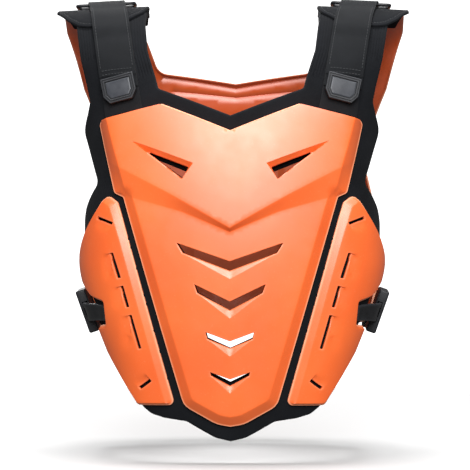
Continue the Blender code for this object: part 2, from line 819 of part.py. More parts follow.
def make_wing():
    corners = [wing_spot(row[1], row[2]) for row in WING_OUTLINE]
    rim = Rim(corners, [row[3] * CORNER for row in WING_OUTLINE], [row[4] for row in WING_OUTLINE])
    slot_share = SLOT_OUT / WING_WIDTH
    holes = [slot_loop(wing_spot(slot_share, start), wing_spot(slot_share, end), SLOT_WIDTH)
             for name, start, end in WING_SLOTS]
    holes += [slot_loop(wing_spot(out, down), wing_spot(far_out, far_down), SLOT_WIDTH)
              for name, out, down, far_out, far_down in WING_SLASHES]

    def top(point):
        return RIM + WING_RISE * rim.share(point)

    return sheet("wing_plate_right", "orange_shell", rim.points, top, lambda point: top(point) - SHELL,
                 holes, [[*rim.inner, rim.inner[0]]])


def make_flap():
    crest = 0.03
    edge = FLAP_FRONT
    rows = [
        (Vector((FLAP_INNER + 0.006, -FLAP_BACK)), 0.5),
        (Vector((FLAP_INNER, 0.0)), 2),
        (Vector((FLAP_INNER, crest)), 1),
        (Vector((FLAP_INNER + 0.005, 0.65 * edge)), 2),
        (Vector((FLAP_INNER + 0.024, 0.93 * edge)), 2),
        (Vector((FLAP_OUTER - 0.042, edge)), 2),
        (Vector((FLAP_OUTER - 0.029, 0.96 * edge)), 2),
        (Vector((FLAP_OUTER - 0.016, 0.80 * edge)), 2),
        (Vector((FLAP_OUTER, crest)), 1),
        (Vector((FLAP_OUTER, 0.0)), 2),
        (Vector((FLAP_OUTER - 0.012, -FLAP_BACK)), 0.5),
    ]
    outline = round_corners([spot for spot, corner in rows], [corner * CORNER for spot, corner in rows])[0]
    return sheet("shoulder_flap_right", "foam", outline, lambda point: FLAP_TOP, lambda point: SEAT)


def strap_centre(run):
    return STRAP_TOP_CENTRE - STRAP_LEAN * run


def flap_ramp(run):
    """The floor under the lower webbing: the foam, and the flap above its front edge."""
    rise = 1 - smooth(run, FLAP_FRONT + FLAP_CLEAR, FLAP_FRONT + FLAP_CLEAR + FLAP_RAMP)
    return FOAM + (FLAP_TOP - FOAM) * rise


RING_LIFT = FLAP_TOP + WEB_GAP + WEB + WEB_GAP + RING_ROD / 2
RING_FRONT_RUN = RING_DEPTH / 2 - RING_BACK
RING_REAR_RUN = -RING_DEPTH / 2 - RING_BACK
FOLD_RADIUS = RING_ROD / 2 + WEB_GAP + WEB / 2


def plate_top_edge(across):
    """The run of the front plate's shoulder edge at a place across."""
    peak = table_spot(PLATE_OUTLINE, "collar peak")
    corner = table_spot(PLATE_OUTLINE, "shoulder corner")
    return peak.y + (across - peak.x) * (corner.y - peak.y) / (corner.x - peak.x)


def make_shoulder_strap():
    """From the front plate's shoulder edge up to the ring, round its front bar and down to the badge."""
    end = plate_top_edge(strap_centre(STRAP_END_SHARE * COLLAR_RUN)) - WEB_GAP
    slope = (plate_top_edge(STRAP_WIDTH) - plate_top_edge(0)) / STRAP_WIDTH
    bar = Vector((RING_FRONT_RUN, RING_LIFT))
    ramp = (FLAP_FRONT + FLAP_CLEAR, FLAP_FRONT + FLAP_CLEAR + FLAP_RAMP / 2, FLAP_FRONT + FLAP_CLEAR + FLAP_RAMP)
    settled = RING_FRONT_RUN + STRAP_SETTLE
    lower = [Vector((run, flap_ramp(run) + WEB_GAP + WEB / 2))
             for run in stations(RUN_LINES, end, RING_FRONT_RUN + FOLD_RADIUS, ramp)]
    fold = half_turn(bar, FOLD_RADIUS, -math.pi / 2, -1)
    upper = []
    for run in stations(RUN_LINES, RING_FRONT_RUN + FOLD_RADIUS, STRAP_FOLD_RUN, (*ramp, settled)):
        floor = flap_ramp(run) + 2 * WEB_GAP + 1.5 * WEB
        settle = 1 - smooth(run, RING_FRONT_RUN, settled)
        upper.append(Vector((run, floor + (bar.y + FOLD_RADIUS - floor) * settle)))

    def spot(run, sideways, lift):
        at_end = smooth(run, end - 0.5 * STRAP_WIDTH, end)
        return place(strap_centre(run) + sideways, run + slope * sideways * at_end, lift)

    return band("shoulder_strap_right", "webbing", lower + fold + upper, WEB, STRAP_WIDTH, spot)


def ring_path():
    """The ring's rounded rectangle in the pattern."""
    centre = Vector((strap_centre(0), -RING_BACK))
    half = Vector((RING_WIDTH / 2, RING_DEPTH / 2))
    corners = [centre + Vector((x * half.x, y * half.y)) for x, y in ((-1, -1), (1, -1), (1, 1), (-1, 1))]
    return round_corners(corners, [RING_CORNER] * 4)[0]


def make_ring():
    curve = bpy.data.curves.new("strap_ring_right", "CURVE")
    curve.dimensions = "3D"
    curve.bevel_depth = RING_ROD / 2
    curve.bevel_resolution = 1
    curve.use_fill_caps = True
    spline_data = curve.splines.new("POLY")
    path = ring_path()
    spline_data.points.add(len(path) - 1)
    for point, spot in zip(spline_data.points, path):
        point.co = (*place(spot.x, spot.y, RING_LIFT), 1)
    spline_data.use_cyclic_u = True
    return new_object("strap_ring_right", curve, "buckle_plastic")


def yoke_share(run):
    """0 on the back plate's shoulder horns, 1 below them, where its face is raised."""
    return smooth(-run, HORN_FOOT, HORN_FOOT + HORN_RAMP)


def back_face(run):
    return BACK_RIM + BACK_RISE * yoke_share(run)


def make_ring_anchor():
    """Webbing from the ring's rear bar down onto the back plate's horn."""
    bar = Vector((RING_REAR_RUN, RING_LIFT))
    horn = -table_row(BACK_OUTLINE, "horn inner")[2] * BACK_LENGTH
    far = horn - ANCHOR_LENGTH
    upper, lower = [], []
    for run in stations(RUN_LINES, far, bar.x, (horn, horn + 0.5 * (bar.x - horn))):
        settle = smooth(run, horn, bar.x)
        low_level = back_face(run) + WEB_GAP + WEB / 2
        top_level = low_level + WEB + WEB_GAP
        upper.append(Vector((run, top_level + (bar.y + FOLD_RADIUS - top_level) * settle)))
        lower.append(Vector((run, low_level + (bar.y - FOLD_RADIUS - low_level) * settle)))
    fold = half_turn(bar, FOLD_RADIUS, math.pi / 2, -1)[1:-1]

    def spot(run, sideways, lift):
        return place(strap_centre(0) + sideways, run, lift)

    return band("ring_anchor_right", "webbing", upper + fold + lower[::-1], WEB, ANCHOR_WIDTH, spot, 2)


def make_badge():
    """A hexagonal moulding: a flat frame with a raised panel inside."""
    half, tall = BADGE_WIDTH / 2, BADGE_HEIGHT / 2
    corners = [(-half, tall), (half, tall), (half, -0.35 * tall), (0.55 * half, -tall),
               (-0.55 * half, -tall), (-half, -0.35 * tall)]
    body = bmesh.new()
    face = body.faces.new([body.verts.new((x, y, 0)) for x, y in corners])
    raised = bmesh.ops.extrude_face_region(body, geom=[face])["geom"]
    bmesh.ops.translate(body, verts=[v for v in raised if isinstance(v, bmesh.types.BMVert)],
                        vec=(0, 0, BADGE_THICK))
    bmesh.ops.recalc_face_normals(body, faces=body.faces[:])
    top = max(body.faces, key=lambda f: f.calc_center_median().z)
    bmesh.ops.inset_region(body, faces=[top], thickness=BADGE_FRAME, depth=0)
    bmesh.ops.inset_region(body, faces=[top], thickness=BADGE_STEP, depth=-BADGE_STEP)
    bmesh.ops.inset_region(body, faces=[top], thickness=BADGE_STEP, depth=BADGE_STEP)
    mesh = bpy.data.meshes.new("strap_badge_right")
    body.to_mesh(mesh)
    body.free()
    piece = new_object("strap_badge_right", mesh, "buckle_plastic")
    lift = flap_ramp(BADGE_RUN) + 2 * WEB_GAP + 2 * WEB + BADGE_GAP
    piece.matrix_world = (frame_at(strap_centre(BADGE_RUN), BADGE_RUN, lift)
                          @ Matrix.Rotation(-math.atan(STRAP_LEAN), 4, "Z"))
    return piece


def back_spot(across_share, run_share):
    return Vector((across_share * BACK_HALF, run_share * BACK_LENGTH))


def make_back_plate():
    """The outline is drawn with the run counted down the back, and turned over at the end."""
    corners = [back_spot(row[1], row[2]) for row in BACK_OUTLINE]
    rim = Rim(corners, [row[3] * CORNER for row in BACK_OUTLINE], [row[4] for row in BACK_OUTLINE])
    ribs = [(back_spot(0, middle), back_spot(across, side)) for name, middle, across, side in BACK_RIBS]

    def rib_rise(point):
        best = 0
        for middle, side in ribs:
            distance = segment_distance(point, middle, side)[0]
            best = max(best, 1 - distance / RIB_HALF)
        return RIB_RISE * best

    def top(point):
        down = Vector((point.x, -point.y))
        spine = 1 - min(1, max(0, (down.x - SPINE_HALF) / SPINE_EDGE))
        below = smooth(down.y, ribs[1][0].y + 0.010, ribs[1][0].y + 0.040)
        rise = rim.share(down)
        face = (BACK_RISE * yoke_share(point.y) + SPINE_RISE * spine * below + rib_rise(down)) * rise
        return BACK_RIM + face

    def turned(points):
        return [Vector((p.x, -p.y)) for p in points]

    creases = [turned(rim.inner)]
    for middle, side in ribs:
        ahead = (side - middle).normalized()
        across = Vector((-ahead.y, ahead.x)) * RIB_HALF
        creases += [turned([middle, side]), turned([middle + across, side + across]),
                    turned([middle - across, side - across])]
    foot = BACK_LENGTH
    for out in (SPINE_HALF, SPINE_HALF + SPINE_EDGE):
        creases.append([Vector((out, -ribs[1][0].y)), Vector((out, -foot))])
    return sheet("back_plate", "orange_shell", turned(rim.points), top, lambda point: top(point) - SHELL,
                 (), creases, half=True)


def box(name, size, collection=COLLECTION, material="buckle_plastic"):
    body = bmesh.new()
    bmesh.ops.create_cube(body, size=1)
    bmesh.ops.scale(body, verts=body.verts[:], vec=size)
    mesh = bpy.data.meshes.new(name)
    body.to_mesh(mesh)
    body.free()
    piece = new_object(name, mesh, material if collection == COLLECTION else None, collection)
    if collection == CUTTERS:
        piece.hide_render = True
        piece.display_type = "WIRE"
    return piece


def boolean(piece, other, operation):
    modifier = piece.modifiers.new(other.name, "BOOLEAN")
    modifier.operation = operation
    modifier.object = other
    modifier.solver = "EXACT"


def belt_run():
    """The belt is level with the middle of the flank shell's notch."""
    return wing_spot(0, BELT_SHARE).y


def make_buckle():
    frame = frame_at(BUCKLE_ACROSS, belt_run(), BUCKLE_LIFT)
    block = box("side_buckle_right", (BUCKLE_LONG, BUCKLE_TALL, BUCKLE_THICK))
    block.matrix_world = frame
    chamfer = block.modifiers.new("chamfer", "BEVEL")
    chamfer.width = BUCKLE_CHAMFER
    chamfer.segments = 1
    rear = BUCKLE_LONG / 2
    window = box("buckle_window", (2 * BAR_ROOM + BAR, SLOT_TALL, 2 * BUCKLE_THICK), CUTTERS)
    window.matrix_world = frame @ Matrix.Translation((rear, 0, 0))
    pocket = box("buckle_pocket", (2 * POCKET_DEPTH, POCKET_TALL, TONGUE_THICK + 2 * TONGUE_GAP), CUTTERS)
    pocket.matrix_world = frame @ Matrix.Translation((-rear, 0, -POCKET_DROP))
    bar = box("buckle_bar", (BAR, (BUCKLE_TALL + SLOT_TALL) / 2, BAR), CUTTERS)
    bar.matrix_world = frame @ Matrix.Translation((rear - BAR, 0, 0))
    boolean(block, window, "DIFFERENCE")
    boolean(block, pocket, "DIFFERENCE")
    boolean(block, bar, "UNION")
    return block


def make_tongue():
    """From the flank shell's notch on the foam up into the side buckle's pocket."""
    middle = belt_run()
    notch_top, notch_foot = (wing_spot(*table_row(WING_OUTLINE, name)[1:3])
                             for name in ("notch inner top", "notch inner foot"))
    mouth = BUCKLE_ACROSS - BUCKLE_LONG / 2
    end = mouth + POCKET_DEPTH - TONGUE_SHORT
    level = BUCKLE_LIFT - TONGUE_THICK / 2
    tall = TONGUE_TALL / 2
    root = TONGUE_ROOT * tall
    slant = (notch_foot.x - notch_top.x) / (notch_foot.y - notch_top.y)
    start = (notch_foot.x + notch_top.x) / 2 + WEB_GAP
    shoulder = mouth - TONGUE_SHOULDER
    outline = [
        Vector((start - slant * root, middle - root)),
        Vector((shoulder, middle - tall)),
        Vector((end, middle - tall)),
        Vector((end, middle + tall)),
        Vector((shoulder, middle + tall)),
        Vector((start + slant * root, middle + root)),
    ]

    def base(point):
        return SEAT + (level - SEAT) * smooth(point.x, start + TONGUE_SHOULDER, shoulder + 0.5 * TONGUE_SHOULDER)

    return sheet("buckle_tongue_right", "buckle_plastic", outline, lambda point: base(point) + TONGUE_THICK, base)


def side_join():
    """The flat side's start, the belt's run on the back, and the two girths' sum where they meet."""
    turn = math.sin(CHEST_TURN)
    flat_radius = (TORSO_HALF - SIDE_RADIUS * (1 - turn)) / turn
    flat = flat_radius * CHEST_TURN + (math.pi / 2 - CHEST_TURN) * SIDE_RADIUS
    front = place(flat, belt_run(), 0)
    low, high = 0.5 * belt_run(), 1.5 * belt_run()
    for _ in range(40):
        back_run = (low + high) / 2
        if place(flat, -back_run, 0).z > front.z:
            low = back_run
        else:
            high = back_run
    return flat, back_run, place(flat, -back_run, 0).y - front.y + 2 * flat


def make_side_strap():
    flat, back_run, total = side_join()
    tab_edge = table_row(BACK_OUTLINE, "belt top")[1] * BACK_HALF
    start = tab_edge - BELT_OVERLAP
    bar_along = total - (BUCKLE_ACROSS + BUCKLE_LONG / 2 - BAR)
    bar = Vector((bar_along, BUCKLE_LIFT))
    radius = BAR * math.sqrt(0.5) + WEB_GAP + WEB / 2
    on_tab = BACK_RIM + BACK_RISE + BELT_GAP + WEB / 2
    outer = []
    for along in stations(ACROSS_LINES, start, bar_along, (tab_edge, (tab_edge + bar_along) / 2)):
        settle = smooth(along, tab_edge + WEB, bar_along)
        outer.append(Vector((along, on_tab + (bar.y + radius - on_tab) * settle)))
    fold = half_turn(bar, radius, math.pi / 2, -1)[1:]
    inner = [Vector((along, bar.y - radius))
             for along in stations(ACROSS_LINES, bar_along, bar_along - BELT_FOLD)[1:]]
    swap = total / 2
    frame = frame_at(BUCKLE_ACROSS, belt_run(), BUCKLE_LIFT)

    def spot(along, sideways, lift):
        """Laid on the torso, but square to the block where it comes to the block's bar."""
        if along > swap:
            laid = place(total - along, belt_run() + sideways, lift)
        else:
            laid = place(along, -(back_run + sideways), lift)
        square = frame @ Vector((total - along - BUCKLE_ACROSS, -sideways, lift - BUCKLE_LIFT))
        return laid.lerp(square, smooth(along, tab_edge, bar_along - BELT_SQUARE))

    return band("side_strap_right", "webbing", outer + fold + inner, WEB, BELT_WIDTH, spot)


def build():
    for piece in list(bpy.data.objects):
        bpy.data.objects.remove(piece, do_unlink=True)
    for name in (COLLECTION, CUTTERS):
        collection = bpy.data.collections.new(name)
        bpy.context.scene.collection.children.link(collection)
    make_material("orange_shell", (0.86, 0.17, 0.03), 0.42)
    make_material("foam", (0.018, 0.019, 0.021), 0.85)
    make_material("webbing", (0.024, 0.025, 0.028), 0.8)
    make_material("buckle_plastic", (0.012, 0.012, 0.014), 0.45)
    make_front_pad()
    make_front_plate()
    make_back_plate()
    bpy.context.view_layer.update()
    makers = (make_wing, make_flap, make_shoulder_strap, make_ring, make_ring_anchor,
              make_badge, make_tongue, make_buckle, make_side_strap)
    for make in makers:
        piece = make()
        bpy.context.view_layer.update()
        other_side(piece, piece.name.replace("_right", "_left"))


build()
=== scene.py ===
"""The looks of a motorcycle chest protector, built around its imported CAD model.

Every piece is drawn flat and laid on one torso shape, as in the CAD source. A pattern place has an
across (the girth from the body's middle), a run (the way down the front from the shoulder line, and
down the back where it is negative) and a lift (the height off the skin). Here the torso is smooth,
and the pieces have the rounded edges, creases, seams and weave that the CAD model leaves out.
Lengths are in metres. The front faces -Y, +X is the viewer's right and +Z is up.
"""

import math

import bpy
import numpy as np
from mathutils import Matrix, Vector
from mathutils.geometry import delaunay_2d_cdt


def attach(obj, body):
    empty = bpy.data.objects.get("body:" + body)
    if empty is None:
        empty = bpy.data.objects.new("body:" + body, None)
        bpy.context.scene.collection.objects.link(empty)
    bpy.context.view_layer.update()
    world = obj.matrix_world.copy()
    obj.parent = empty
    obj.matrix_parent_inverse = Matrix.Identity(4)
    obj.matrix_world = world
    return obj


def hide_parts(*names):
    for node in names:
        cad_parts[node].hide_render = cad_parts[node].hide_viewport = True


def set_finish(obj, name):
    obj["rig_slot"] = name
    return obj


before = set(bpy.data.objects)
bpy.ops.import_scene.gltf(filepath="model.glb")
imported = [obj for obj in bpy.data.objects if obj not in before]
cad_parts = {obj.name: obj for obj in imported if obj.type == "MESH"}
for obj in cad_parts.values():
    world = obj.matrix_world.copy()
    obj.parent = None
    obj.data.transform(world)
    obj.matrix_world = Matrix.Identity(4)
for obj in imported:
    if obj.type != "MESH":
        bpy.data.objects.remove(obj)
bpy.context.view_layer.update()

# The torso that it is worn on
TORSO_HALF = 0.168
SIDE_RADIUS = 0.0634
CHEST_TURN = math.radians(17)
CHEST_DEPTH = 0.127
CHEST_HEIGHT = 0.512
BACK_DEPTH = 0.114
BACK_HEIGHT = 0.412
YOKE_TOP = 0.055
YOKE_FOOT = 0.255
SHOULDER_SLOPE = 0.05
WAIST_TOP = 0.365
WAIST_FOOT = 0.555
WAIST_SHARE = 0.72

# Walls, seats and clearances
FOAM = 0.008
SHELL = 0.003
SEAT_GAP = 0.0003
WEB_GAP = 0.0009
WEB = 0.0013
FLAP = 0.003

# The front plate
CHEST_HALF = 0.153
COLLAR_RUN = 0.2141
PLATE_LENGTH = 0.3408
CORNER = 0.006
EDGE_BEVEL = 0.0025
CHEST_BEVEL = 0.0155
PANEL_BEVEL = 0.013
CHEST_RISE = 0.013
PANEL_RISE = 0.007
EYE_DIP = 0.0055
EYE_BAND = 0.006
EYE_END = 0.0026
GLINT_DIP = 0.003
FOAM_EASE = 0.0012

# The flank shells
WING_GAP = 0.0077
WING_WIDTH = 0.0923
WING_LENGTH = 0.2467
WING_LEAD = 0.0023
WING_RISE = 0.0035
WING_BEVEL = 0.009
WING_EDGE = 0.0028
WING_FOAM_INSET = 0.005
SLOT_WIDTH = 0.0034
SLOT_OUT = 0.0227

# The foam's shoulder arms and margins
COLLAR_BAND = 0.0187
FOOT_BAND = 0.0186
ARM_CENTRE = 0.1437
ARM_WIDTH = 0.082
ARM_OVER = 0.014

# The shoulder straps, their rings and flaps
STRAP_WIDTH = 0.044
STRAP_TOP_CENTRE = 0.1545
STRAP_LEAN = 0.166
RING_WIDTH = 0.070
RING_DEPTH = 0.022
RING_ROD = 0.004
RING_BACK = 0.005
RING_CORNER = 0.005
BADGE_WIDTH = 0.040
BADGE_HEIGHT = 0.031
BADGE_THICK = 0.0045
BADGE_FRAME = 0.0045
BADGE_STEP = 0.0014
BADGE_GAP = 0.0007
BADGE_RUN = 0.1605
STRAP_FOLD_RUN = 0.158
STRAP_END_SHARE = 0.88
STRAP_SETTLE = 0.035
FLAP_CLEAR = 0.004
FLAP_RAMP = 0.018
FLAP_INNER = 0.1015
FLAP_OUTER = 0.2115
FLAP_FRONT = 0.074
FLAP_BACK = 0.054
FLAP_CREST = 0.03
ANCHOR_WIDTH = 0.040
ANCHOR_LENGTH = 0.052

# The back plate
BACK_HALF = 0.212
BACK_LENGTH = 0.449
BACK_RISE = 0.004
BACK_BEVEL = 0.010
HORN_FOOT = 0.095
HORN_RAMP = 0.040
SPINE_HALF = 0.052
SPINE_RISE = 0.005
SPINE_EDGE = 0.008
SPINE_START = 0.010
SPINE_FULL = 0.040
RIB_RISE = 0.0028
RIB_HALF = 0.0035

# The side buckles
BUCKLE_ACROSS = 0.2085
BUCKLE_LONG = 0.034
BUCKLE_TALL = 0.053
BUCKLE_THICK = 0.0125
BUCKLE_LIFT = 0.0175
POCKET_DEPTH = 0.015
POCKET_TALL = 0.0245
POCKET_DROP = 0.0009
TONGUE_TALL = 0.0218
TONGUE_THICK = 0.0032
TONGUE_GAP = 0.0016
BAR = 0.004
SLOT_TALL = 0.044
BAR_ROOM = 0.0072
BELT_WIDTH = 0.040
BELT_OVERLAP = 0.036
BELT_GAP = 0.0018
BELT_FOLD = 0.022
BELT_SQUARE = 0.010
BELT_SHARE = 0.562
TONGUE_ROOT = 0.84
TONGUE_SHOULDER = 0.010
TONGUE_SHORT = 0.004

# Finish: rounded edges, lips, soft creases and sewn detail
EDGE_ROUND = 0.0009
# How far the paler rim reaches from an edge: a painted edge highlight with some wear
RIM_REACH = 0.0015
# The holes' share of that painted edge highlight
HOLE_RIM = 0.2
# Painted highlight along the back plate's rib crests
RIB_CREST_HIGHLIGHT = 0.15
# Share of painted shade on the back plate's inner face; the other shells take it fully
BACK_INNER_SHADE = 0.65
LIP = 0.0013
CREASE = 0.0009
FOAM_ROUND = 0.0032
FLAP_ROUND = 0.0014
THREAD = 0.00028
WARP_PITCH = 0.0011
WEFT_PITCH = 0.0019
STITCH = 0.0026
STITCH_PITCH = 0.0036
GROOVE_HALF = 0.0009
GROOVE_DEPTH = 0.0008
ARM_GROOVES = (0.0035, 0.0072, 0.0104, 0.0136, 0.0168)
SLOT_DIP = 0.0019
SLOT_FADE = 0.011
LEAST_MITRE = 0.004
FINE_CREASE = 0.0005
EYE_CREASE = 0.0006
VENT_CORNER = 0.0008
SLOT_CORNER = 0.0006
FOAM_SEAM = 0.0045
FOAM_SEAM_HALF = 0.0012
FOAM_SEAM_SOFT = 0.0014
FOAM_SEAM_DIP = 0.0005
THREAD_PROUD = 0.0001
HEM_LONG = 0.0045
HEM_THICK = 0.0009
HEM_GAP = 0.0012
HEM_SEAM = 0.0022
CROSS_SEAM = 0.0075
SIDE_SEAM = 0.0032
SEWN_INSET = 0.004
SEWN_LONG = 0.034
MOULD_CORNER = 0.0012
TONGUE_ROUND = 0.0007
# Where the tongue's sunk middle ends, as shares of its half height
TONGUE_GROOVE = (0.45, 0.55)
GRIP_MIDDLE = -0.0045
GRIP_PANEL = (0.013, 0.012, 0.0012)
GRIP_RIB = (0.0105, 0.0011, 0.0012)
GRIP_REACH = 0.016
GRIP_COUNT = 9
# How far apart the points of each piece's pattern are
PLATE_MESH = 0.0042
WING_MESH = 0.0036
WIDE_MESH = 0.005
FLAP_MESH = 0.004
TONGUE_MESH = 0.0016
SEAM_MESH = 0.004
RUN_STEP = 0.003
# Distances from an edge at which its rounding gets a row of points
EDGE_ROWS = (0.0003, 0.0009, 0.0013, 0.0019, 0.0025, 0.0033)
SOFT_ROWS = (0.0003, 0.0011, 0.0022, 0.0033)

# Levels that follow from the walls and gaps
SEAT = FOAM + SEAT_GAP
RIM = SEAT + SHELL
FLAP_TOP = SEAT + FLAP
BACK_SEAT = FLAP_TOP + SEAT_GAP
BACK_RIM = BACK_SEAT + SHELL

# Name, depth and height as shares of the torso's depth and height
FRONT_PROFILE = (
    ("shoulder line", 0.000, 0.000),
    ("shoulder front", 0.276, 0.012),
    ("collarbone", 0.543, 0.051),
    ("upper chest", 0.736, 0.117),
    ("chest", 0.858, 0.203),
    ("breastbone", 0.937, 0.307),
    ("rib edge", 0.984, 0.424),
    ("fullest", 1.000, 0.551),
    ("belly", 0.976, 0.688),
    ("waist", 0.913, 0.844),
    ("hip", 0.827, 1.000),
)
BACK_PROFILE = (
    ("shoulder line", 0.000, 0.000),
    ("shoulder back", 0.307, 0.015),
    ("neck foot", 0.605, 0.063),
    ("upper back", 0.803, 0.146),
    ("shoulder blade", 0.921, 0.252),
    ("mid back", 0.982, 0.381),
    ("fullest", 1.000, 0.527),
    ("lower back", 0.965, 0.685),
    ("waist", 0.904, 0.854),
    ("hip", 0.842, 1.000),
)

# Name, across as a share of CHEST_HALF, down (1 at the collar notch, 2 at the foot), corner share
# of CORNER, and the width of the edge that starts there
PLATE_OUTLINE = (
    ("collar notch", 0.000, 1.000, 0.0, EDGE_BEVEL),
    ("collar peak", 0.511, 0.847, 0.4, EDGE_BEVEL),
    ("shoulder corner", 1.000, 0.911, 1.2, CHEST_BEVEL),
    ("side corner", 0.869, 1.206, 1.0, 0.5 * PANEL_BEVEL),
    ("side step", 0.804, 1.221, 0.5, PANEL_BEVEL),
    ("foot corner", 0.344, 1.930, 3.0, PANEL_BEVEL),
    ("foot", 0.100, 1.992, 5.0, PANEL_BEVEL),
    ("tip", 0.000, 2.000, 0.0, 0.0),
)
# The step under the chest block: name, across share, down
STEP_TOP = (("centre", 0.000, 1.3283), ("middle", 0.441, 1.2116), ("side", 1.000, 1.0740))
STEP_FOOT = (("centre", 0.000, 1.3404), ("middle", 0.350, 1.2723), ("side", 0.804, 1.2130))
# The slanted vent: its sunk face, the hole in it and the foam's hole behind
EYE_FACE = (("tip", 0.712, 1.0317), ("inner top", 0.259, 1.1139), ("foot", 0.339, 1.1670))
EYE_HOLE = (("tip", 0.612, 1.0684), ("inner top", 0.299, 1.1262), ("foot", 0.337, 1.1655))
EYE_FOAM = (("tip", 0.540, 1.0960), ("inner top", 0.308, 1.1395), ("foot", 0.334, 1.1640))
# Chevron vents: tip, outer foot, then the centre line's top, foot and the sunk face's foot
CHEVRONS = (
    ("first", 0.384, 1.3768, 0.339, 1.4099, 1.4375, 1.4689, 1.4950),
    ("second", 0.256, 1.5135, 0.234, 1.5425, 1.5704, 1.6006, 1.6265),
    ("third", 0.175, 1.6734, 0.161, 1.6960, 1.7039, 1.7286, 1.7550),
    ("fourth", 0.143, 1.8084, 0.135, 1.8207, 1.8327, 1.8565, 1.8803),
)
# Share of each chevron's height that the foam behind leaves open
CHEVRON_OPEN = (1.0, 1.0, 1.0, 0.55)

# Name, out as a share of WING_WIDTH from the inner edge, down as a share of WING_LENGTH, corner
# share, and the width of the edge that starts there
WING_OUTLINE = (
    ("inner top", 0.000, 0.034, 1.0, WING_BEVEL),
    ("tip", 0.086, 0.000, 1.0, WING_EDGE),
    ("outer top", 0.200, 0.026, 1.0, WING_EDGE),
    ("shoulder", 0.598, 0.167, 4.0, WING_EDGE),
    ("flank", 0.961, 0.298, 4.0, WING_EDGE),
    ("widest", 1.000, 0.347, 3.0, WING_EDGE),
    ("above notch", 0.934, 0.426, 3.0, WING_EDGE),
    ("notch top", 0.748, 0.489, 0.5, WING_EDGE),
    ("notch inner top", 0.562, 0.508, 0.4, WING_EDGE),
    ("notch inner foot", 0.622, 0.616, 0.4, WING_EDGE),
    ("notch foot", 0.816, 0.630, 0.5, WING_EDGE),
    ("below notch", 0.758, 0.752, 3.0, WING_EDGE),
    ("low", 0.651, 0.847, 3.0, WING_EDGE),
    ("foot outer", 0.496, 1.000, 0.8, WING_EDGE),
    ("foot inner", 0.026, 0.990, 1.0, WING_BEVEL),
)
# Slots along the inner crease: name, top and foot down
WING_SLOTS = (("high", 0.276, 0.392), ("middle", 0.430, 0.528), ("low", 0.566, 0.723))
# Slanted slots: name, then out and down of the outer and the inner end
WING_SLASHES = (("top", 0.293, 0.106, 0.127, 0.136), ("foot", 0.385, 0.912, 0.228, 0.871))

# The foam above the flank shells: name, across as a share of CHEST_HALF, down, corner share
PAD_SIDE = (
    ("armpit", 1.108, 0.786, 1.5),
    ("bulge top", 1.140, 0.845, 1.0),
    ("bulge", 1.218, 0.944, 3.0),
    ("waist", 1.035, 1.165, 1.5),
    ("wing top", 1.223, 1.246, 3.0),
)
PAD_NECK = (
    ("collar corner", 0.551, 0.752, 1.0),
    ("neck low", 0.584, 0.662, 2.0),
    ("neck", 0.642, 0.517, 4.0),
)
# The foam under the flank shell's outer edge: name, out and down in the flank shell's shares
PAD_FLANK = (("widest", 1.060, 0.170, 3.0), ("belt", 0.900, 0.500, 3.0), ("flank", 0.690, 0.740, 3.0))
# The foam's foot: name, across as a share of CHEST_HALF, down as a share of FOOT_BAND under the plate
PAD_FOOT = (
    ("hem outer", 0.725, -2.60, 2.0),
    ("foot outer", 0.680, -1.08, 2.0),
    ("foot corner", 0.600, -0.58, 2.0),
    ("foot low", 0.500, -0.37, 2.0),
    ("foot", 0.330, -0.22, 2.0),
    ("tongue", 0.115, 0.78, 4.0),
    ("tip", 0.000, 1.00, 0.0),
)

# Name, across as a share of BACK_HALF, run as a share of BACK_LENGTH, corner share, edge width
BACK_OUTLINE = (
    ("neck middle", 0.000, 0.313, 0.0, EDGE_BEVEL),
    ("neck side", 0.456, 0.278, 3.0, EDGE_BEVEL),
    ("neck rise", 0.525, 0.180, 3.0, EDGE_BEVEL),
    ("horn inner", 0.530, 0.060, 1.0, EDGE_BEVEL),
    ("horn outer", 0.985, 0.060, 1.0, EDGE_BEVEL),
    ("arm edge", 0.990, 0.145, 4.0, EDGE_BEVEL),
    ("arm edge low", 0.920, 0.298, 4.0, EDGE_BEVEL),
    ("armhole", 0.772, 0.460, 4.0, BACK_BEVEL),
    ("armhole foot", 0.770, 0.555, 4.0, BACK_BEVEL),
    ("flank", 0.880, 0.725, 4.0, BACK_BEVEL),
    ("belt top", 0.890, 0.872, 1.0, EDGE_BEVEL),
    ("belt foot", 0.880, 0.976, 1.0, EDGE_BEVEL),
    ("foot corner", 0.600, 0.994, 3.0, BACK_BEVEL),
    ("foot middle", 0.000, 1.000, 0.0, 0.0),
)
# Ribs that follow the neck: how far below it at the middle, and across and run at the side
BACK_RIBS = (
    ("upper", 0.328, 0.425, 0.292),
    ("lower", 0.353, 0.362, 0.333),
)

# The rings of a badge: name, inset, depth under its face, paleness (a painted highlight on the ridges)
BADGE_RINGS = (
    ("foot", 0.0, BADGE_THICK, 0.0),
    ("side", 0.0, 0.0012, 0.3),
    ("shoulder", 0.0003, 0.0005, 1.0),
    ("outer frame", 0.0008, 0.0002, 0.9),
    ("outer frame edge", 0.0016, 0.0002, 0.5),
    ("groove", 0.0020, 0.0009, 0.1),
    ("groove edge", 0.0027, 0.0009, 0.1),
    ("inner frame", 0.0031, 0.0, 1.0),
    ("inner frame edge", BADGE_FRAME - 0.0004, 0.0, 0.6),
    ("step", BADGE_FRAME, 0.0003, 0.3),
    ("step foot", BADGE_FRAME + 0.0003, BADGE_STEP, 0.0),
    ("panel foot", BADGE_FRAME + 0.0009, BADGE_STEP, 0.0),
    ("panel side", BADGE_FRAME + 0.0012, 0.0004, 0.7),
    ("panel shoulder", BADGE_FRAME + 0.0017, 0.0001, 0.5),
    ("panel", BADGE_FRAME + 0.0026, 0.0, 0.0),
)
BADGE_PANEL_RING = 11
# The hexagon's slanted corners as shares of its half width and half height
BADGE_SLANT = (0.68, 0.40)
# The ways in which the faces beside the slanted slots fade out
TOP_FADE = (0.25, 0.97)
FOOT_FADE = (0.62, -0.78)

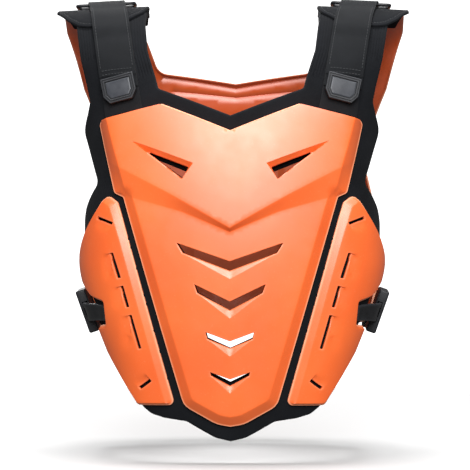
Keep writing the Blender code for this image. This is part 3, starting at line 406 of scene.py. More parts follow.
# The photographer's place and lens
PHOTO_SIZE = 470
CAMERA_SPOT = (0.0642, -2.2991, -0.272)
CAMERA_TURN = math.radians(1.6)
SENSOR = 36
FOCAL_PIXELS = 1886.96
FRAME_SHIFT = 1.75
FLOOR_LEVEL = -0.537

# Soft light: all round, then name, place, spread in degrees and strength of each far lamp, and
# name, place, size and power of each near one
AMBIENT = 0.24
BACKDROP = 2.0
SUNS = (
    ("key", (1.3, -1.8, 1.6), 30, 0.55),
    ("top", (0.0, 0.05, 2.0), 22, 4.6),
)
SOFT_BOXES = (
    ("chest", (0.1, -2.4, 0.95), 1.9, 105),
    ("rear", (-0.7, 2.0, 0.9), 1.6, 24),
)
LAMP_AIM = (0, 0, -0.25)
FLOOR_RADIUS = 1.0
FLOOR_SIDES = 96

ROUND_STEP = math.radians(15)


def smooth(value, low, high):
    """0 below low, 1 above high, with an even turn between."""
    share = np.clip((value - low) / (high - low), 0, 1)
    return share * share * (3 - 2 * share)


def bend(value, ease):
    """0 below, the value itself above, with the corner between rounded over ease."""
    return np.where(value > ease, value, np.maximum(value + ease, 0) ** 2 / (4 * ease))


def ramp(value, low, high, ease):
    """0 below low, 1 above high and straight between, with both corners rounded over ease."""
    share = (value - low) / (high - low)
    ease = ease / (high - low)
    return bend(share, ease) - bend(share - 1, ease)


def spline(points, steps):
    """A smooth line through the points (Catmull-Rom)."""
    ends = np.vstack([2 * points[:1] - points[1:2], points, 2 * points[-1:] - points[-2:-1]])
    t = (np.arange(steps) / steps)[:, None]
    line = []
    for a, b, c, d in zip(ends, ends[1:], ends[2:], ends[3:]):
        turn = (c - a) * t + (2 * a - 5 * b + 4 * c - d) * t ** 2 + (3 * b - a - 3 * c + d) * t ** 3
        line.append(b + turn / 2)
    return np.vstack([*line, points[-1:]])


def unit(ways):
    return ways / np.linalg.norm(ways, axis=-1, keepdims=True)


def lengths_along(line):
    """How far along an open line each of its points lies."""
    return np.concatenate([[0], np.cumsum(np.linalg.norm(np.diff(line, axis=0), axis=1))])


def torso_line():
    """The body's middle line from the back's hip over the shoulder to the front's, in Y and Z."""
    steps = 60
    back = [(BACK_DEPTH * out, -BACK_HEIGHT * down) for name, out, down in reversed(BACK_PROFILE[1:])]
    front = [(-CHEST_DEPTH * out, -CHEST_HEIGHT * down) for name, out, down in FRONT_PROFILE]
    line = spline(np.array(back + front), steps)
    reach = 0.2
    ways = [line[0] - line[1], line[-1] - line[-2]]
    ways = [way / np.linalg.norm(way) * reach for way in ways]
    line = np.vstack([line[0] + ways[0], line, line[-1] + ways[1]])
    lengths = lengths_along(line)
    crest = 1 + len(back) * steps
    return line, lengths - lengths[crest]


TORSO_POINTS, TORSO_RUNS = torso_line()
CHEST_SINE = math.sin(CHEST_TURN)
FLAT_RADIUS = (TORSO_HALF - SIDE_RADIUS * (1 - CHEST_SINE)) / CHEST_SINE
FLAT_GIRTH = FLAT_RADIUS * CHEST_TURN


def profile(run):
    return np.stack([np.interp(run, TORSO_RUNS, TORSO_POINTS[:, axis]) for axis in (0, 1)], -1)


def section(across):
    """The torso's round: how far out, and how far back from the middle line, a girth lies."""
    flat_angle = np.minimum(across, FLAT_GIRTH) / FLAT_RADIUS
    out = FLAT_RADIUS * np.sin(flat_angle)
    back = FLAT_RADIUS * (1 - np.cos(flat_angle))
    side_turn = CHEST_TURN + np.maximum(across - FLAT_GIRTH, 0) / SIDE_RADIUS
    past = np.maximum(side_turn - math.pi / 2, 0) * SIDE_RADIUS
    side_angle = np.minimum(side_turn, math.pi / 2)
    out = out + SIDE_RADIUS * (np.sin(side_angle) - CHEST_SINE)
    back = back + SIDE_RADIUS * (math.cos(CHEST_TURN) - np.cos(side_angle))
    return out, back + past


def skin(across, run):
    side = np.sign(across)
    across = np.abs(across)
    flat = 1 - smooth(np.abs(run), YOKE_TOP, YOKE_FOOT)
    waist = 1 - (1 - WAIST_SHARE) * smooth(np.abs(run), WAIST_TOP, WAIST_FOOT)
    out, back = section(across / waist)
    out = out * waist * (1 - flat) + across * flat
    back = back * waist * (1 - flat) + across * SHOULDER_SLOPE * flat
    step = 0.003
    point = profile(run)
    ahead = unit(profile(run + step) - profile(run - step))
    depth = point[..., 0] - ahead[..., 1] * back
    height = point[..., 1] + ahead[..., 0] * back
    return np.stack([side * out, depth, height], -1)


def way_out(across, run):
    step = 0.002
    girth = skin(across + step, run) - skin(across - step, run)
    down = skin(across, run + step) - skin(across, run - step)
    return unit(np.cross(down, girth))


def laid(across, run, lift):
    """The points in space of pattern places."""
    across, run, lift = np.broadcast_arrays(*(np.asarray(x, float) for x in (across, run, lift)))
    return skin(across, run) + way_out(across, run) * lift[..., None]


def frame_at(across, run, lift):
    """A local frame on the torso: X along the girth, Y up the body, Z out of the skin."""
    step = 0.004
    origin = Vector(laid(across, run, lift))
    girth = Vector(laid(across + step, run, lift) - laid(across - step, run, lift))
    rise = Vector(laid(across, run - step, lift) - laid(across, run + step, lift))
    out = girth.cross(rise).normalized()
    girth.normalize()
    rise = out.cross(girth)
    matrix = Matrix((girth, rise, out)).transposed().to_4x4()
    matrix.translation = origin
    return matrix


def down_at(share):
    """The run of a down share: 0 at the shoulder line, 1 at the collar notch, 2 at the foot."""
    if share <= 1:
        return share * COLLAR_RUN
    return COLLAR_RUN + (share - 1) * PLATE_LENGTH


def front_spot(across_share, down_share):
    return Vector((across_share * CHEST_HALF, down_at(down_share)))


def spots_of(rows):
    return [front_spot(row[1], row[2]) for row in rows]


def table_row(rows, name):
    return next(row for row in rows if row[0] == name)


def table_spot(rows, name):
    row = table_row(rows, name)
    return front_spot(row[1], row[2])


def plate_side(run):
    """How far out the front plate's lower side edge is at a run."""
    top = table_spot(PLATE_OUTLINE, "side step")
    foot = table_spot(PLATE_OUTLINE, "foot corner")
    return top.x + (run - top.y) * (foot.x - top.x) / (foot.y - top.y)


def wing_spot(out_share, down_share):
    top = table_spot(PLATE_OUTLINE, "side corner").y + WING_LEAD
    run = top + down_share * WING_LENGTH
    return Vector((plate_side(run) + WING_GAP + out_share * WING_WIDTH, run))


def back_spot(across_share, run_share):
    return Vector((across_share * BACK_HALF, run_share * BACK_LENGTH))


def round_corners(corners, radii, widths=None):
    """The closed outline with its corners rounded, and the width of the edge at each of its points."""
    count = len(corners)
    widths = widths or [0] * count
    points, edges = [], []
    for index, (corner, radius) in enumerate(zip(corners, radii)):
        before, after = corners[index - 1], corners[(index + 1) % count]
        last, width = widths[index - 1], widths[index]
        if radius <= 0:
            points.append(corner.copy())
            edges.append(max(last, width))
            continue
        back = (before - corner).normalized()
        ahead = (after - corner).normalized()
        half = math.acos(max(-1, min(1, back.dot(ahead)))) / 2
        room = 0.48 * min((before - corner).length, (after - corner).length)
        cut = min(radius / math.tan(half), room)
        radius = cut * math.tan(half)
        centre = corner + (back + ahead).normalized() * (radius / math.sin(half))
        start = corner + back * cut - centre
        turn = math.pi - 2 * half
        sense = 1 if back.x * ahead.y - back.y * ahead.x < 0 else -1
        steps = max(2, math.ceil(turn / ROUND_STEP - 0.01))
        for step in range(steps + 1):
            points.append(centre + Matrix.Rotation(sense * turn * step / steps, 2) @ start)
            edges.append(last + (width - last) * step / steps)
    return points, edges


def offset_corners(corners, widths):
    """The outline moved inwards by each edge's own width."""
    count = len(corners)
    area = sum(a.x * b.y - b.x * a.y for a, b in zip(corners, corners[1:] + corners[:1]))
    sense = 1 if area > 0 else -1
    lines = []
    for index in range(count):
        start, end = corners[index], corners[(index + 1) % count]
        ahead = (end - start).normalized()
        shift = Vector((-ahead.y, ahead.x)) * sense * widths[index]
        lines.append((start + shift, end + shift))
    moved = []
    for index in range(count):
        (a, b), (c, d) = lines[index - 1], lines[index]
        cross = (b - a).cross(d - c)
        if abs(cross) < 1e-9:
            moved.append(c.copy())
            continue
        moved.append(a + (b - a) * ((c - a).cross(d - c) / cross))
    return moved


def both_sides(corners, *columns):
    """A half outline from the middle line to the middle line, with its mirror image added.

    Each column holds a value for each corner; the last one belongs to the edges that start there."""
    mirror = [Vector((-corner.x, corner.y)) for corner in reversed(corners[1:-1])]
    full = [list(column) + list(reversed(column[1:-1])) for column in columns[:-1]]
    edges = list(columns[-1])
    full.append(edges[:-1] + list(reversed(edges[:-1])))
    return [*corners, *mirror], *full


def dense(line, spacing, closed=False):
    """The line as an array, with points added so that none lie further apart than spacing."""
    line = np.array([tuple(point) for point in line], float)
    ends = np.vstack([line, line[:1]]) if closed else line
    points = []
    for start, end in zip(ends, ends[1:]):
        steps = max(1, math.ceil(np.linalg.norm(end - start) / spacing))
        points.extend(start + (end - start) * step / steps for step in range(steps))
    if not closed:
        points.append(ends[-1])
    return np.array(points)


def beside(line, distance, closed=False):
    """The line moved to its left by a small distance."""
    if closed:
        back, ahead = np.roll(line, 1, axis=0), np.roll(line, -1, axis=0)
    else:
        back, ahead = np.vstack([line[:1], line[:-1]]), np.vstack([line[1:], line[-1:]])
    ways = []
    for way in (line - back, ahead - line):
        length = np.linalg.norm(way, axis=1, keepdims=True)
        ways.append(np.where(length > 1e-9, way / np.maximum(length, 1e-9), 0))
    way = ways[0] + ways[1]
    way /= np.maximum(np.linalg.norm(way, axis=1, keepdims=True), 1e-9)
    return line + np.stack([-way[:, 1], way[:, 0]], 1) * distance


def inside(points, loop):
    hits = np.zeros(len(points), bool)
    for start, end in zip(loop, np.roll(loop, -1, axis=0)):
        if start[1] == end[1]:
            continue
        spans = (start[1] > points[:, 1]) != (end[1] > points[:, 1])
        crossing = start[0] + (points[:, 1] - start[1]) * (end[0] - start[0]) / (end[1] - start[1])
        hits ^= spans & (points[:, 0] < crossing)
    return hits


def gaps(points, line, closed=False):
    """Each point's distance from each of the line's segments, and the share along it."""
    starts, ends = (line, np.roll(line, -1, axis=0)) if closed else (line[:-1], line[1:])
    way = ends - starts
    away = points[:, None, :] - starts[None]
    share = np.clip((away * way).sum(-1) / np.maximum((way ** 2).sum(-1), 1e-14), 0, 1)
    return np.linalg.norm(away - way * share[..., None], axis=-1), share


def gap(points, line, closed=False):
    """Each point's distance from the line."""
    line = np.array([tuple(point) for point in line], float)
    parts = [part for part in np.array_split(points, 8) if len(part)]
    return np.concatenate([gaps(part, line, closed)[0].min(1) for part in parts])


def loop_sense(loop):
    """1 if the loop turns to the left, -1 if it turns to the right."""
    area = np.sum(loop[:, 0] * np.roll(loop[:, 1], -1) - loop[:, 1] * np.roll(loop[:, 0], -1))
    return 1 if area > 0 else -1


class Rim:
    """An outline whose edges rise to the face over their own widths, past a flat lip."""

    def __init__(self, corners, radii, widths):
        points, edges = round_corners(corners, radii, widths)
        self.line = np.array([tuple(point) for point in points])
        self.widths = np.array(edges)
        self.inner = offset_corners(corners, widths)
        self.mitres = [[corner, inner] for corner, inner in zip(corners, self.inner)
                       if (corner - inner).length > LEAST_MITRE]

    def share(self, points):
        """0 on the lip, 1 on the face."""
        shares = []
        following = np.roll(self.widths, -1)
        for part in np.array_split(points, 8):
            distance, along = gaps(part, self.line, True)
            width = np.maximum(self.widths + (following - self.widths) * along, LIP + 2 * CREASE)
            shares.append(ramp(distance, LIP, width, CREASE / 2).min(1))
        return np.concatenate(shares)


def flat_net(outline, holes, lines, spacing, rows):
    """The pattern cut into triangles: its points, its faces, and each point's distance from an edge
    and share of the paler rim, which is a painted edge highlight with some wear."""
    loops = [dense(loop, spacing, True) for loop in (outline, *holes)]
    paths = [(loop, True) for loop in loops]
    for index, loop in enumerate(loops):
        sense = loop_sense(loop) if index == 0 else -loop_sense(loop)
        paths += [(beside(loop, sense * row, True), True) for row in rows]
    paths += [(dense(line, spacing), False) for line in lines]
    places, edges = [], []
    for path, closed in paths:
        first = len(places)
        places.extend(path)
        edges.extend((first + i, first + i + 1) for i in range(len(path) - 1))
        if closed:
            edges.append((first + len(path) - 1, first))
    low, high = loops[0].min(0), loops[0].max(0)
    grid = []
    for row, y in enumerate(np.arange(low[1], high[1], spacing * 0.87)):
        xs = np.arange(low[0] + spacing / 2 * (row % 2), high[0], spacing)
        grid.append(np.stack([xs, np.full(len(xs), y)], 1))
    grid = np.vstack(grid)
    grid = grid[inside(grid, loops[0])]
    fixed = np.array(places)
    near = np.concatenate([np.linalg.norm(part[:, None] - fixed[None], axis=-1).min(1)
                           for part in np.array_split(grid, 16) if len(part)])
    places.extend(grid[near > 0.55 * spacing])
    points, _, faces, *_ = delaunay_2d_cdt([Vector(p) for p in places], edges, [], 0, 2e-5)
    points = np.array([tuple(p) for p in points])
    faces = np.array([tuple(f) for f in faces])
    centre = points[faces].mean(1)
    kept = inside(centre, loops[0])
    for hole in loops[1:]:
        kept &= ~inside(centre, hole)
    faces = faces[kept]
    used, faces = np.unique(faces, return_inverse=True)
    points, faces = points[used], faces.reshape(-1, 3)
    edges = [gap(points, loop, True) for loop in loops]
    # The paler rim along the outline and, fainter, the holes: a painted edge highlight with some wear
    rim = np.exp(-(edges[0] / RIM_REACH) ** 2)
    for hole_edge in edges[1:]:
        rim = np.maximum(rim, HOLE_RIM * np.exp(-(hole_edge / RIM_REACH) ** 2))
    return points, faces, np.min(edges, axis=0), rim


def make_mesh(name, corners, faces, materials, sharp=38):
    mesh = bpy.data.meshes.new(name)
    corners = [tuple(corner) for corner in corners]
    mesh.from_pydata(corners, [], [tuple(int(i) for i in face) for face in faces])
    mesh.validate()
    for material in materials:
        mesh.materials.append(material)
    mesh.shade_smooth()
    mesh.set_sharp_from_angle(angle=math.radians(sharp))
    return mesh


def add_piece(name, mesh, slot, *nodes):
    """Puts a finished mesh in the scene: it rides on the one body and stands for CAD nodes."""
    piece = bpy.data.objects.new(name, mesh)
    bpy.context.scene.collection.objects.link(piece)
    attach(piece, "root")
    if nodes:
        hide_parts(*nodes)
    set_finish(piece, slot)
    return piece


def mirrored(piece, name, *nodes):
    """The same piece on the body's other side."""
    mesh = piece.data.copy()
    mesh.name = name
    mesh.transform(Matrix.Scale(-1, 4, (1, 0, 0)))
    mesh.flip_normals()
    return add_piece(name, mesh, piece["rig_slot"], *nodes)


def add_pair(name, mesh, slot, node=None):
    """A piece on the right side and its mirror image on the left."""
    names = {side: [f"{node}_{side}"] if node else [] for side in ("right", "left")}
    piece = add_piece(f"{name}_right", mesh, slot, *names["right"])
    return piece, mirrored(piece, f"{name}_left", *names["left"])


def ring_faces(rows, size, first=0, closed=False):
    """The faces between rows of points, with a cap at each end unless the rows close up."""
    faces = []
    for row in range(rows if closed else rows - 1):
        here = first + row * size
        there = first + (row + 1) % rows * size
        for k in range(size):
            after = (k + 1) % size
            faces.append((here + k, here + after, there + after, there + k))
    if not closed:
        faces.append(tuple(first + k for k in reversed(range(size))))
        faces.append(tuple(first + (rows - 1) * size + k for k in range(size)))
    return faces


def set_values(mesh, name, values):
    layer = mesh.attributes.new(name, "FLOAT", "POINT")
    layer.data.foreach_set("value", np.asarray(values, np.float32))


def sheet_mesh(name, materials, net, top, base, round_edge, inner=1.0):
    """A closed solid between the lifts top(points) and base(points) over a pattern."""
    points, faces, edge, rim = net
    inset = np.minimum(edge, round_edge)
    drop = round_edge - np.sqrt(np.maximum(round_edge ** 2 - (round_edge - inset) ** 2, 0))
    upper = laid(points[:, 0], points[:, 1], top(points) - drop)
    lower = laid(points[:, 0], points[:, 1], base(points))
    area = np.cross(upper[faces[:, 1]] - upper[faces[:, 0]], upper[faces[:, 2]] - upper[faces[:, 0]])
    out = way_out(points[faces[:, 0], 0], points[faces[:, 0], 1])
    turned = (area * out).sum(-1) < 0
    faces = np.where(turned[:, None], faces[:, ::-1], faces)
    count = len(points)
    sides = np.vstack([faces[:, [0, 1]], faces[:, [1, 2]], faces[:, [2, 0]]])
    ordered = {tuple(side) for side in sides.tolist()}
    walls = [(b, a, a + count, b + count) for a, b in ordered if (b, a) not in ordered]
    mesh = make_mesh(name, np.vstack([upper, lower]),
                     [*faces.tolist(), *(faces[:, ::-1] + count).tolist(), *sorted(walls)], materials)
    # rim: the painted edge highlight with some wear
    set_values(mesh, "rim", np.tile(rim, 2))
    # inner: the share of painted shade on the inner face
    set_values(mesh, "inner", np.repeat([0.0, inner], count))
    return mesh


def across_lines(line, closed=False, spread=CREASE):
    """A crease line and its two neighbours, which keep its rounding even."""
    line = dense(line, SEAM_MESH, closed)
    lines = [line, beside(line, spread, closed), beside(line, -spread, closed)]
    if closed:
        lines = [np.vstack([each, each[:1]]) for each in lines]
    return lines


def two_sided(lines):
    """The lines and their mirror images."""
    flip = np.array([-1.0, 1.0])
    arrays = [np.array([tuple(point) for point in line], float) for line in lines]
    return arrays + [line * flip for line in arrays]


def folded(points):
    """The places moved to the body's right side."""
    return np.stack([np.abs(points[:, 0]), points[:, 1]], 1)


def line_at(rows, across):
    """The run of a table's line at places across, carried on straight past its end."""
    spots = np.array([tuple(spot) for spot in spots_of(rows)])
    run = np.interp(across, spots[:, 0], spots[:, 1])
    slope = (spots[-1, 1] - spots[-2, 1]) / (spots[-1, 0] - spots[-2, 0])
    return run + np.maximum(across - spots[-1, 0], 0) * slope


def chevron_loops():
    """Each chevron vent's corners on the right side, and its sunk face's foot."""
    loops = []
    for name, tip, tip_down, low, low_down, top, foot, glint in CHEVRONS:
        places = ((0, top), (tip, tip_down), (low, low_down), (0, foot))
        loops.append(([front_spot(*place) for place in places], front_spot(0, glint)))
    return loops


def full_chevron(corners):
    top, tip, low, foot = corners
    return [top, tip, low, foot, Vector((-low.x, low.y)), Vector((-tip.x, tip.y))]


# Materials

class Nodes:
    """Short names for the nodes of one material."""

    def __init__(self, name, base, roughness, specular=0.5):
        self.material = bpy.data.materials.new(name)
        self.material.use_nodes = True
        self.tree = self.material.node_tree
        self.shader = self.tree.nodes["Principled BSDF"]
        self.shader.inputs["Base Color"].default_value = (*base, 1)
        self.shader.inputs["Roughness"].default_value = roughness
        self.shader.inputs["Specular IOR Level"].default_value = specular
        self.material.diffuse_color = (*base, 1)

    def add(self, kind, settings=(), **inputs):
        node = self.tree.nodes.new(kind)
        for name, value in dict(settings).items():
            setattr(node, name, value)
        for name, value in inputs.items():
            key = int(name[4:]) if name.startswith("slot") else name.replace("_", " ")
            self.put(node.inputs[key], value)
        return node

    def put(self, socket, value):
        if isinstance(value, bpy.types.NodeSocket):
            self.tree.links.new(value, socket)
        else:
            socket.default_value = value

    def place(self, kind="Object"):
        return self.add("ShaderNodeTexCoord").outputs[kind]

    def noise(self, scale, detail=2.0, rough=0.5, where=None):
        node = self.add("ShaderNodeTexNoise", Scale=scale, Detail=detail, Roughness=rough,
                        Vector=where or self.place())
        return node.outputs["Fac"]

    def number(self, operation, first, second=0.0, third=0.0):
        node = self.add("ShaderNodeMath", {"operation": operation}, slot0=first, slot1=second, slot2=third)
        return node.outputs[0]

    def times(self, first, second):
        return self.number("MULTIPLY", first, second)

    def plus(self, first, second):
        return self.number("ADD", first, second)

    def spread(self, value, low, high, new_low=0.0, new_high=1.0):
        node = self.add("ShaderNodeMapRange", Value=value)
        for name, limit in zip(("From Min", "From Max", "To Min", "To Max"), (low, high, new_low, new_high)):
            node.inputs[name].default_value = limit
        return node.outputs["Result"]

    def mixed(self, share, first, second):
        node = self.add("ShaderNodeMix", {"data_type": "RGBA"})
        self.put(node.inputs[0], share)
        self.put(node.inputs[6], (*first, 1) if isinstance(first, tuple) else first)
        self.put(node.inputs[7], (*second, 1) if isinstance(second, tuple) else second)
        return node.outputs[2]

    def value_of(self, name):
        return self.add("ShaderNodeAttribute", {"attribute_name": name}).outputs["Fac"]

    def bump(self, height, distance, strength=1.0, under=None):
        node = self.add("ShaderNodeBump", Height=height, Distance=distance, Strength=strength)
        if under is not None:
            self.put(node.inputs["Normal"], under)
        return node.outputs["Normal"]

    def finish(self, colour, roughness, normal):
        self.put(self.shader.inputs["Base Color"], colour)
        self.put(self.shader.inputs["Roughness"], roughness)
        self.put(self.shader.inputs["Normal"], normal)
        return self.material


def orange_material():
    """Moulded plastic: a fine grain, slow mottling, and a paler rim that is a painted edge highlight with
    slight scuffing.
    """
    deep, bright, pale = (0.80, 0.108, 0.010), (0.88, 0.142, 0.017), (0.98, 0.46, 0.26)
    inner_shade_colour = (0.40, 0.045, 0.004)
    kit = Nodes("orange_shell_moulded", bright, 0.40, 1.0)
    slow = kit.spread(kit.noise(9.0, 3.0), 0.3, 0.7)
    colour = kit.mixed(slow, deep, bright)
    flecks = kit.spread(kit.noise(420.0, 4.0, 0.6), 0.60, 0.74)
    colour = kit.mixed(kit.times(flecks, 0.10), colour, pale)
    # The paler rim is a painted edge highlight, broken up by a scuffing noise
    rim = kit.value_of("rim")
    rim_highlight_scuff = kit.spread(kit.noise(150.0, 4.0, 0.65), 0.25, 0.75, 0.55, 1.0)
    colour = kit.mixed(kit.times(kit.times(rim, rim_highlight_scuff), 0.95), colour, pale)
    # The inner face is painted darker: painted shade
    colour = kit.mixed(kit.value_of("inner"), colour, inner_shade_colour)
    rough = kit.spread(kit.noise(60.0, 3.0), 0.25, 0.75, 0.37, 0.45)
    rough = kit.plus(rough, kit.times(rim, 0.10))
    grain = kit.bump(kit.noise(1500.0, 2.0), 0.00006, 0.55)
    wave = kit.bump(kit.noise(24.0, 2.0), 0.0009, 0.12, grain)
    return kit.finish(colour, rough, wave)


def foam_material():
    """Closed-cell foam with a brushed knit face."""
    dark, light = (0.0024, 0.0027, 0.0036), (0.0100, 0.0110, 0.0132)
    kit = Nodes("foam_knit", dark, 0.85, 0.06)
    kit.shader.inputs["Sheen Weight"].default_value = 0.02
    kit.shader.inputs["Sheen Roughness"].default_value = 0.6
    slow = kit.spread(kit.noise(22.0, 4.0, 0.6), 0.3, 0.7)
    knit = kit.add("ShaderNodeTexVoronoi", Scale=1150.0, Vector=kit.place()).outputs["Distance"]
    knit = kit.spread(knit, 0.1, 0.7)
    shade = kit.plus(kit.times(slow, 0.45), kit.times(knit, 0.35))
    # Lighter along the edges: a painted edge highlight with some wear
    rim = kit.value_of("rim")
    shade = kit.plus(shade, kit.times(rim, 0.25))
    colour = kit.mixed(shade, dark, light)
    rough = kit.spread(slow, 0.0, 1.0, 0.78, 0.92)
    normal = kit.bump(knit, 0.00022, 0.5)
    normal = kit.bump(kit.noise(85.0, 3.0), 0.0006, 0.35, normal)
    return kit.finish(colour, rough, normal)


def webbing_material():
    """Woven nylon webbing: ribs across the band, crossed by warp threads."""
    dark, light = (0.0032, 0.0035, 0.0043), (0.0135, 0.0150, 0.0175)
    kit = Nodes("webbing_woven", dark, 0.7, 0.10)
    kit.shader.inputs["Sheen Weight"].default_value = 0.02
    kit.shader.inputs["Sheen Roughness"].default_value = 0.5
    spot = kit.add("ShaderNodeSeparateXYZ", Vector=kit.place("UV"))
    side, along = spot.outputs["X"], spot.outputs["Y"]
    warp = kit.number("SINE", kit.times(side, 2 * math.pi / WARP_PITCH))
    shift = kit.times(kit.number("SIGN", warp), math.pi / 2)
    weft = kit.number("SINE", kit.plus(kit.times(along, 2 * math.pi / WEFT_PITCH), shift))
    weave = kit.times(kit.plus(kit.number("ABSOLUTE", warp), kit.plus(weft, 1.0)), 0.33)
    fuzz = kit.noise(900.0, 3.0, 0.6)
    slow = kit.noise(35.0, 3.0, 0.6)
    shade = kit.plus(kit.times(weave, 0.45), kit.times(fuzz, 0.25))
    shade = kit.plus(shade, kit.spread(slow, 0.3, 0.7, -0.08, 0.12))
    colour = kit.mixed(shade, dark, light)
    rough = kit.spread(weave, 0.0, 1.0, 0.82, 0.62)
    normal = kit.bump(weave, 0.00025, 0.7)
    normal = kit.bump(fuzz, 0.0001, 0.4, normal)
    return kit.finish(colour, rough, normal)


def plastic_material(name, dark, light, rough_low, rough_high):
    """Black moulded plastic with a spark-eroded grain and paler edges, a painted edge highlight with some
    wear.
    """
    kit = Nodes(name, dark, rough_low, 0.3)
    slow = kit.noise(70.0, 3.0, 0.6)
    rim = kit.value_of("rim")
    shade = kit.plus(kit.spread(slow, 0.3, 0.7, 0.0, 0.35), kit.times(rim, 0.6))
    colour = kit.mixed(shade, dark, light)
    rough = kit.spread(slow, 0.3, 0.7, rough_low, rough_high)
    grain = kit.bump(kit.noise(2400.0, 2.0), 0.00007, 0.6)
    return kit.finish(colour, rough, grain)


def thread_material():
    kit = Nodes("thread_twisted", (0.02, 0.021, 0.023), 0.6)
    slow = kit.noise(500.0, 2.0)
    twist = kit.noise(3500.0, 1.0)
    colour = kit.mixed(slow, (0.016, 0.017, 0.019), (0.05, 0.053, 0.057))
    return kit.finish(colour, kit.spread(slow, 0.3, 0.7, 0.5, 0.7), kit.bump(twist, 0.00006, 0.6))


def floor_material():
    kit = Nodes("pale_floor", (0.45, 0.45, 0.45), 0.7, 0.1)
    slow = kit.noise(0.6, 2.0)
    colour = kit.mixed(slow, (0.445, 0.445, 0.445), (0.455, 0.455, 0.455))
    rough = kit.spread(slow, 0.3, 0.7, 0.68, 0.74)
    return kit.finish(colour, rough, kit.bump(kit.noise(200.0), 0.0001, 0.1))


ORANGE = orange_material()
FOAM_KNIT = foam_material()
WEBBING = webbing_material()
PLASTIC = plastic_material("buckle_plastic_moulded", (0.0035, 0.0037, 0.0045),
                           (0.030, 0.032, 0.037), 0.40, 0.52)
BADGE_PANEL = plastic_material("badge_panel_satin", (0.019, 0.021, 0.027), (0.075, 0.08, 0.09),
                               0.30, 0.42)
THREAD_BLACK = thread_material()


# Shells

def shell_mesh(name, net, top, inner=1.0):
    # inner: how much painted shade the inner face takes
    return sheet_mesh(name, [ORANGE], net, top, lambda points: top(points) - SHELL, EDGE_ROUND, inner)


def front_plate():
    corners, radii, widths = both_sides(spots_of(PLATE_OUTLINE),
                                        [row[3] * CORNER for row in PLATE_OUTLINE],
                                        [row[4] for row in PLATE_OUTLINE])
    rim = Rim(corners, radii, widths)
    eye_face = np.array([tuple(spot) for spot in spots_of(EYE_FACE)])
    eye_hole = round_corners(spots_of(EYE_HOLE), [VENT_CORNER] * len(EYE_HOLE))[0]
    chevrons = chevron_loops()

    def eye_dip(points):
        upper = gap(points, eye_face[:2]) / EYE_BAND
        end = gap(points, eye_face[1:]) / EYE_END
        dip = EYE_DIP * np.minimum(1, np.minimum(upper, end))
        return np.where(inside(points, eye_face), dip, 0)

    def glint_dip(points):
        dip = np.zeros(len(points))
        for (_, _, low, foot), glint in chevrons:
            share = points[:, 0] / low.x
            edge = foot.y + (low.y - foot.y) * share
            lowest = glint.y + (low.y - glint.y) * share
            within = (share <= 1) & (points[:, 1] >= edge - 1e-5) & (points[:, 1] <= lowest)
            depth = GLINT_DIP * (lowest - points[:, 1]) / np.maximum(lowest - edge, 1e-6) * (1 - share)
            dip = np.maximum(dip, np.where(within, depth, 0))
        return dip

    def top(points):
        right = folded(points)
        upper, lower = line_at(STEP_TOP, right[:, 0]), line_at(STEP_FOOT, right[:, 0])
        step = ramp(right[:, 1], upper, np.maximum(lower, upper + 2 * CREASE), CREASE)
        rise = CHEST_RISE + (PANEL_RISE - CHEST_RISE) * step
        return RIM + rise * rim.share(points) - eye_dip(right) - glint_dip(right)

    creases = []
    for rows in (STEP_TOP, STEP_FOOT):
        creases += across_lines(spots_of(rows))
    creases += across_lines([*eye_face, eye_face[0]], spread=EYE_CREASE)
    for loop, glint in chevrons:
        creases += across_lines([loop[2], glint], spread=FINE_CREASE)
        creases.append([loop[3], glint])
    lines = two_sided(creases)
    lines += across_lines(rim.inner, True)
    lines += rim.mitres
    holes = [eye_hole, [Vector((-spot.x, spot.y)) for spot in eye_hole]]
    holes += [full_chevron(loop) for loop, glint in chevrons]
    net = flat_net(rim.line, holes, lines, PLATE_MESH, EDGE_ROWS)
    add_piece("chest_shell", shell_mesh("chest_shell", net, top), "orange_shell", "front_plate")


def slot_loop(start, end, width):
    ahead = (end - start).normalized()
    side = Vector((-ahead.y, ahead.x)) * width / 2
    return [start + side, end + side, end - side, start - side]


def wing_shells():
    corners = [wing_spot(row[1], row[2]) for row in WING_OUTLINE]
    rim = Rim(corners, [row[3] * CORNER for row in WING_OUTLINE], [row[4] for row in WING_OUTLINE])
    slot_share = SLOT_OUT / WING_WIDTH
    slots = [(wing_spot(slot_share, start), wing_spot(slot_share, end)) for name, start, end in WING_SLOTS]
    slashes = [(wing_spot(out, down), wing_spot(far_out, far_down))
               for name, out, down, far_out, far_down in WING_SLASHES]
    holes = [slot_loop(start, end, SLOT_WIDTH) for start, end in slots + slashes]
    holes = [round_corners(hole, [SLOT_CORNER] * 4)[0] for hole in holes]
    # A sunk face starts at each slot and fades out sideways: start, end and the way it fades
    sunk = [(start, end, Vector((1, 0))) for start, end in slots]
    for (start, end), way in zip(reversed(slashes), (FOOT_FADE, TOP_FADE)):
        sunk.append((end, start, Vector(way)))

    def dip(points):
        total = np.zeros(len(points))
        for start, end, way in sunk:
            along = np.array(end - start)
            length = np.linalg.norm(along)
            along = along / length
            away = points - np.array(start)
            share = (away @ along) / length
            aside = away @ np.array(way)
            ends = smooth(share, -0.02, 0.03) * (1 - smooth(share, 0.55, 1.05))
            fade = smooth(SLOT_FADE - np.abs(aside - 0.001), 0, SLOT_FADE)
            total = np.maximum(total, SLOT_DIP * ends * fade * (aside > -0.0005))
        return total

    def top(points):
        return RIM + WING_RISE * rim.share(points) - dip(points)

    lines = across_lines(rim.inner, True)
    lines += rim.mitres
    for start, end, way in sunk:
        far = way * SLOT_FADE
        lines += across_lines([start, start + far], spread=FINE_CREASE)
        lines.append([start + far, end + far])
        lines.append([end, end + far])
    net = flat_net(rim.line, holes, lines, WING_MESH, EDGE_ROWS)
    add_pair("flank_shell", shell_mesh("flank_shell_right", net, top), "orange_shell", "wing_plate")


def yoke_share(run):
    """0 on the back plate's shoulder horns, 1 below them, where its face is raised."""
    return smooth(-run, HORN_FOOT, HORN_FOOT + HORN_RAMP)


def back_face(run):
    return BACK_RIM + BACK_RISE * yoke_share(run)


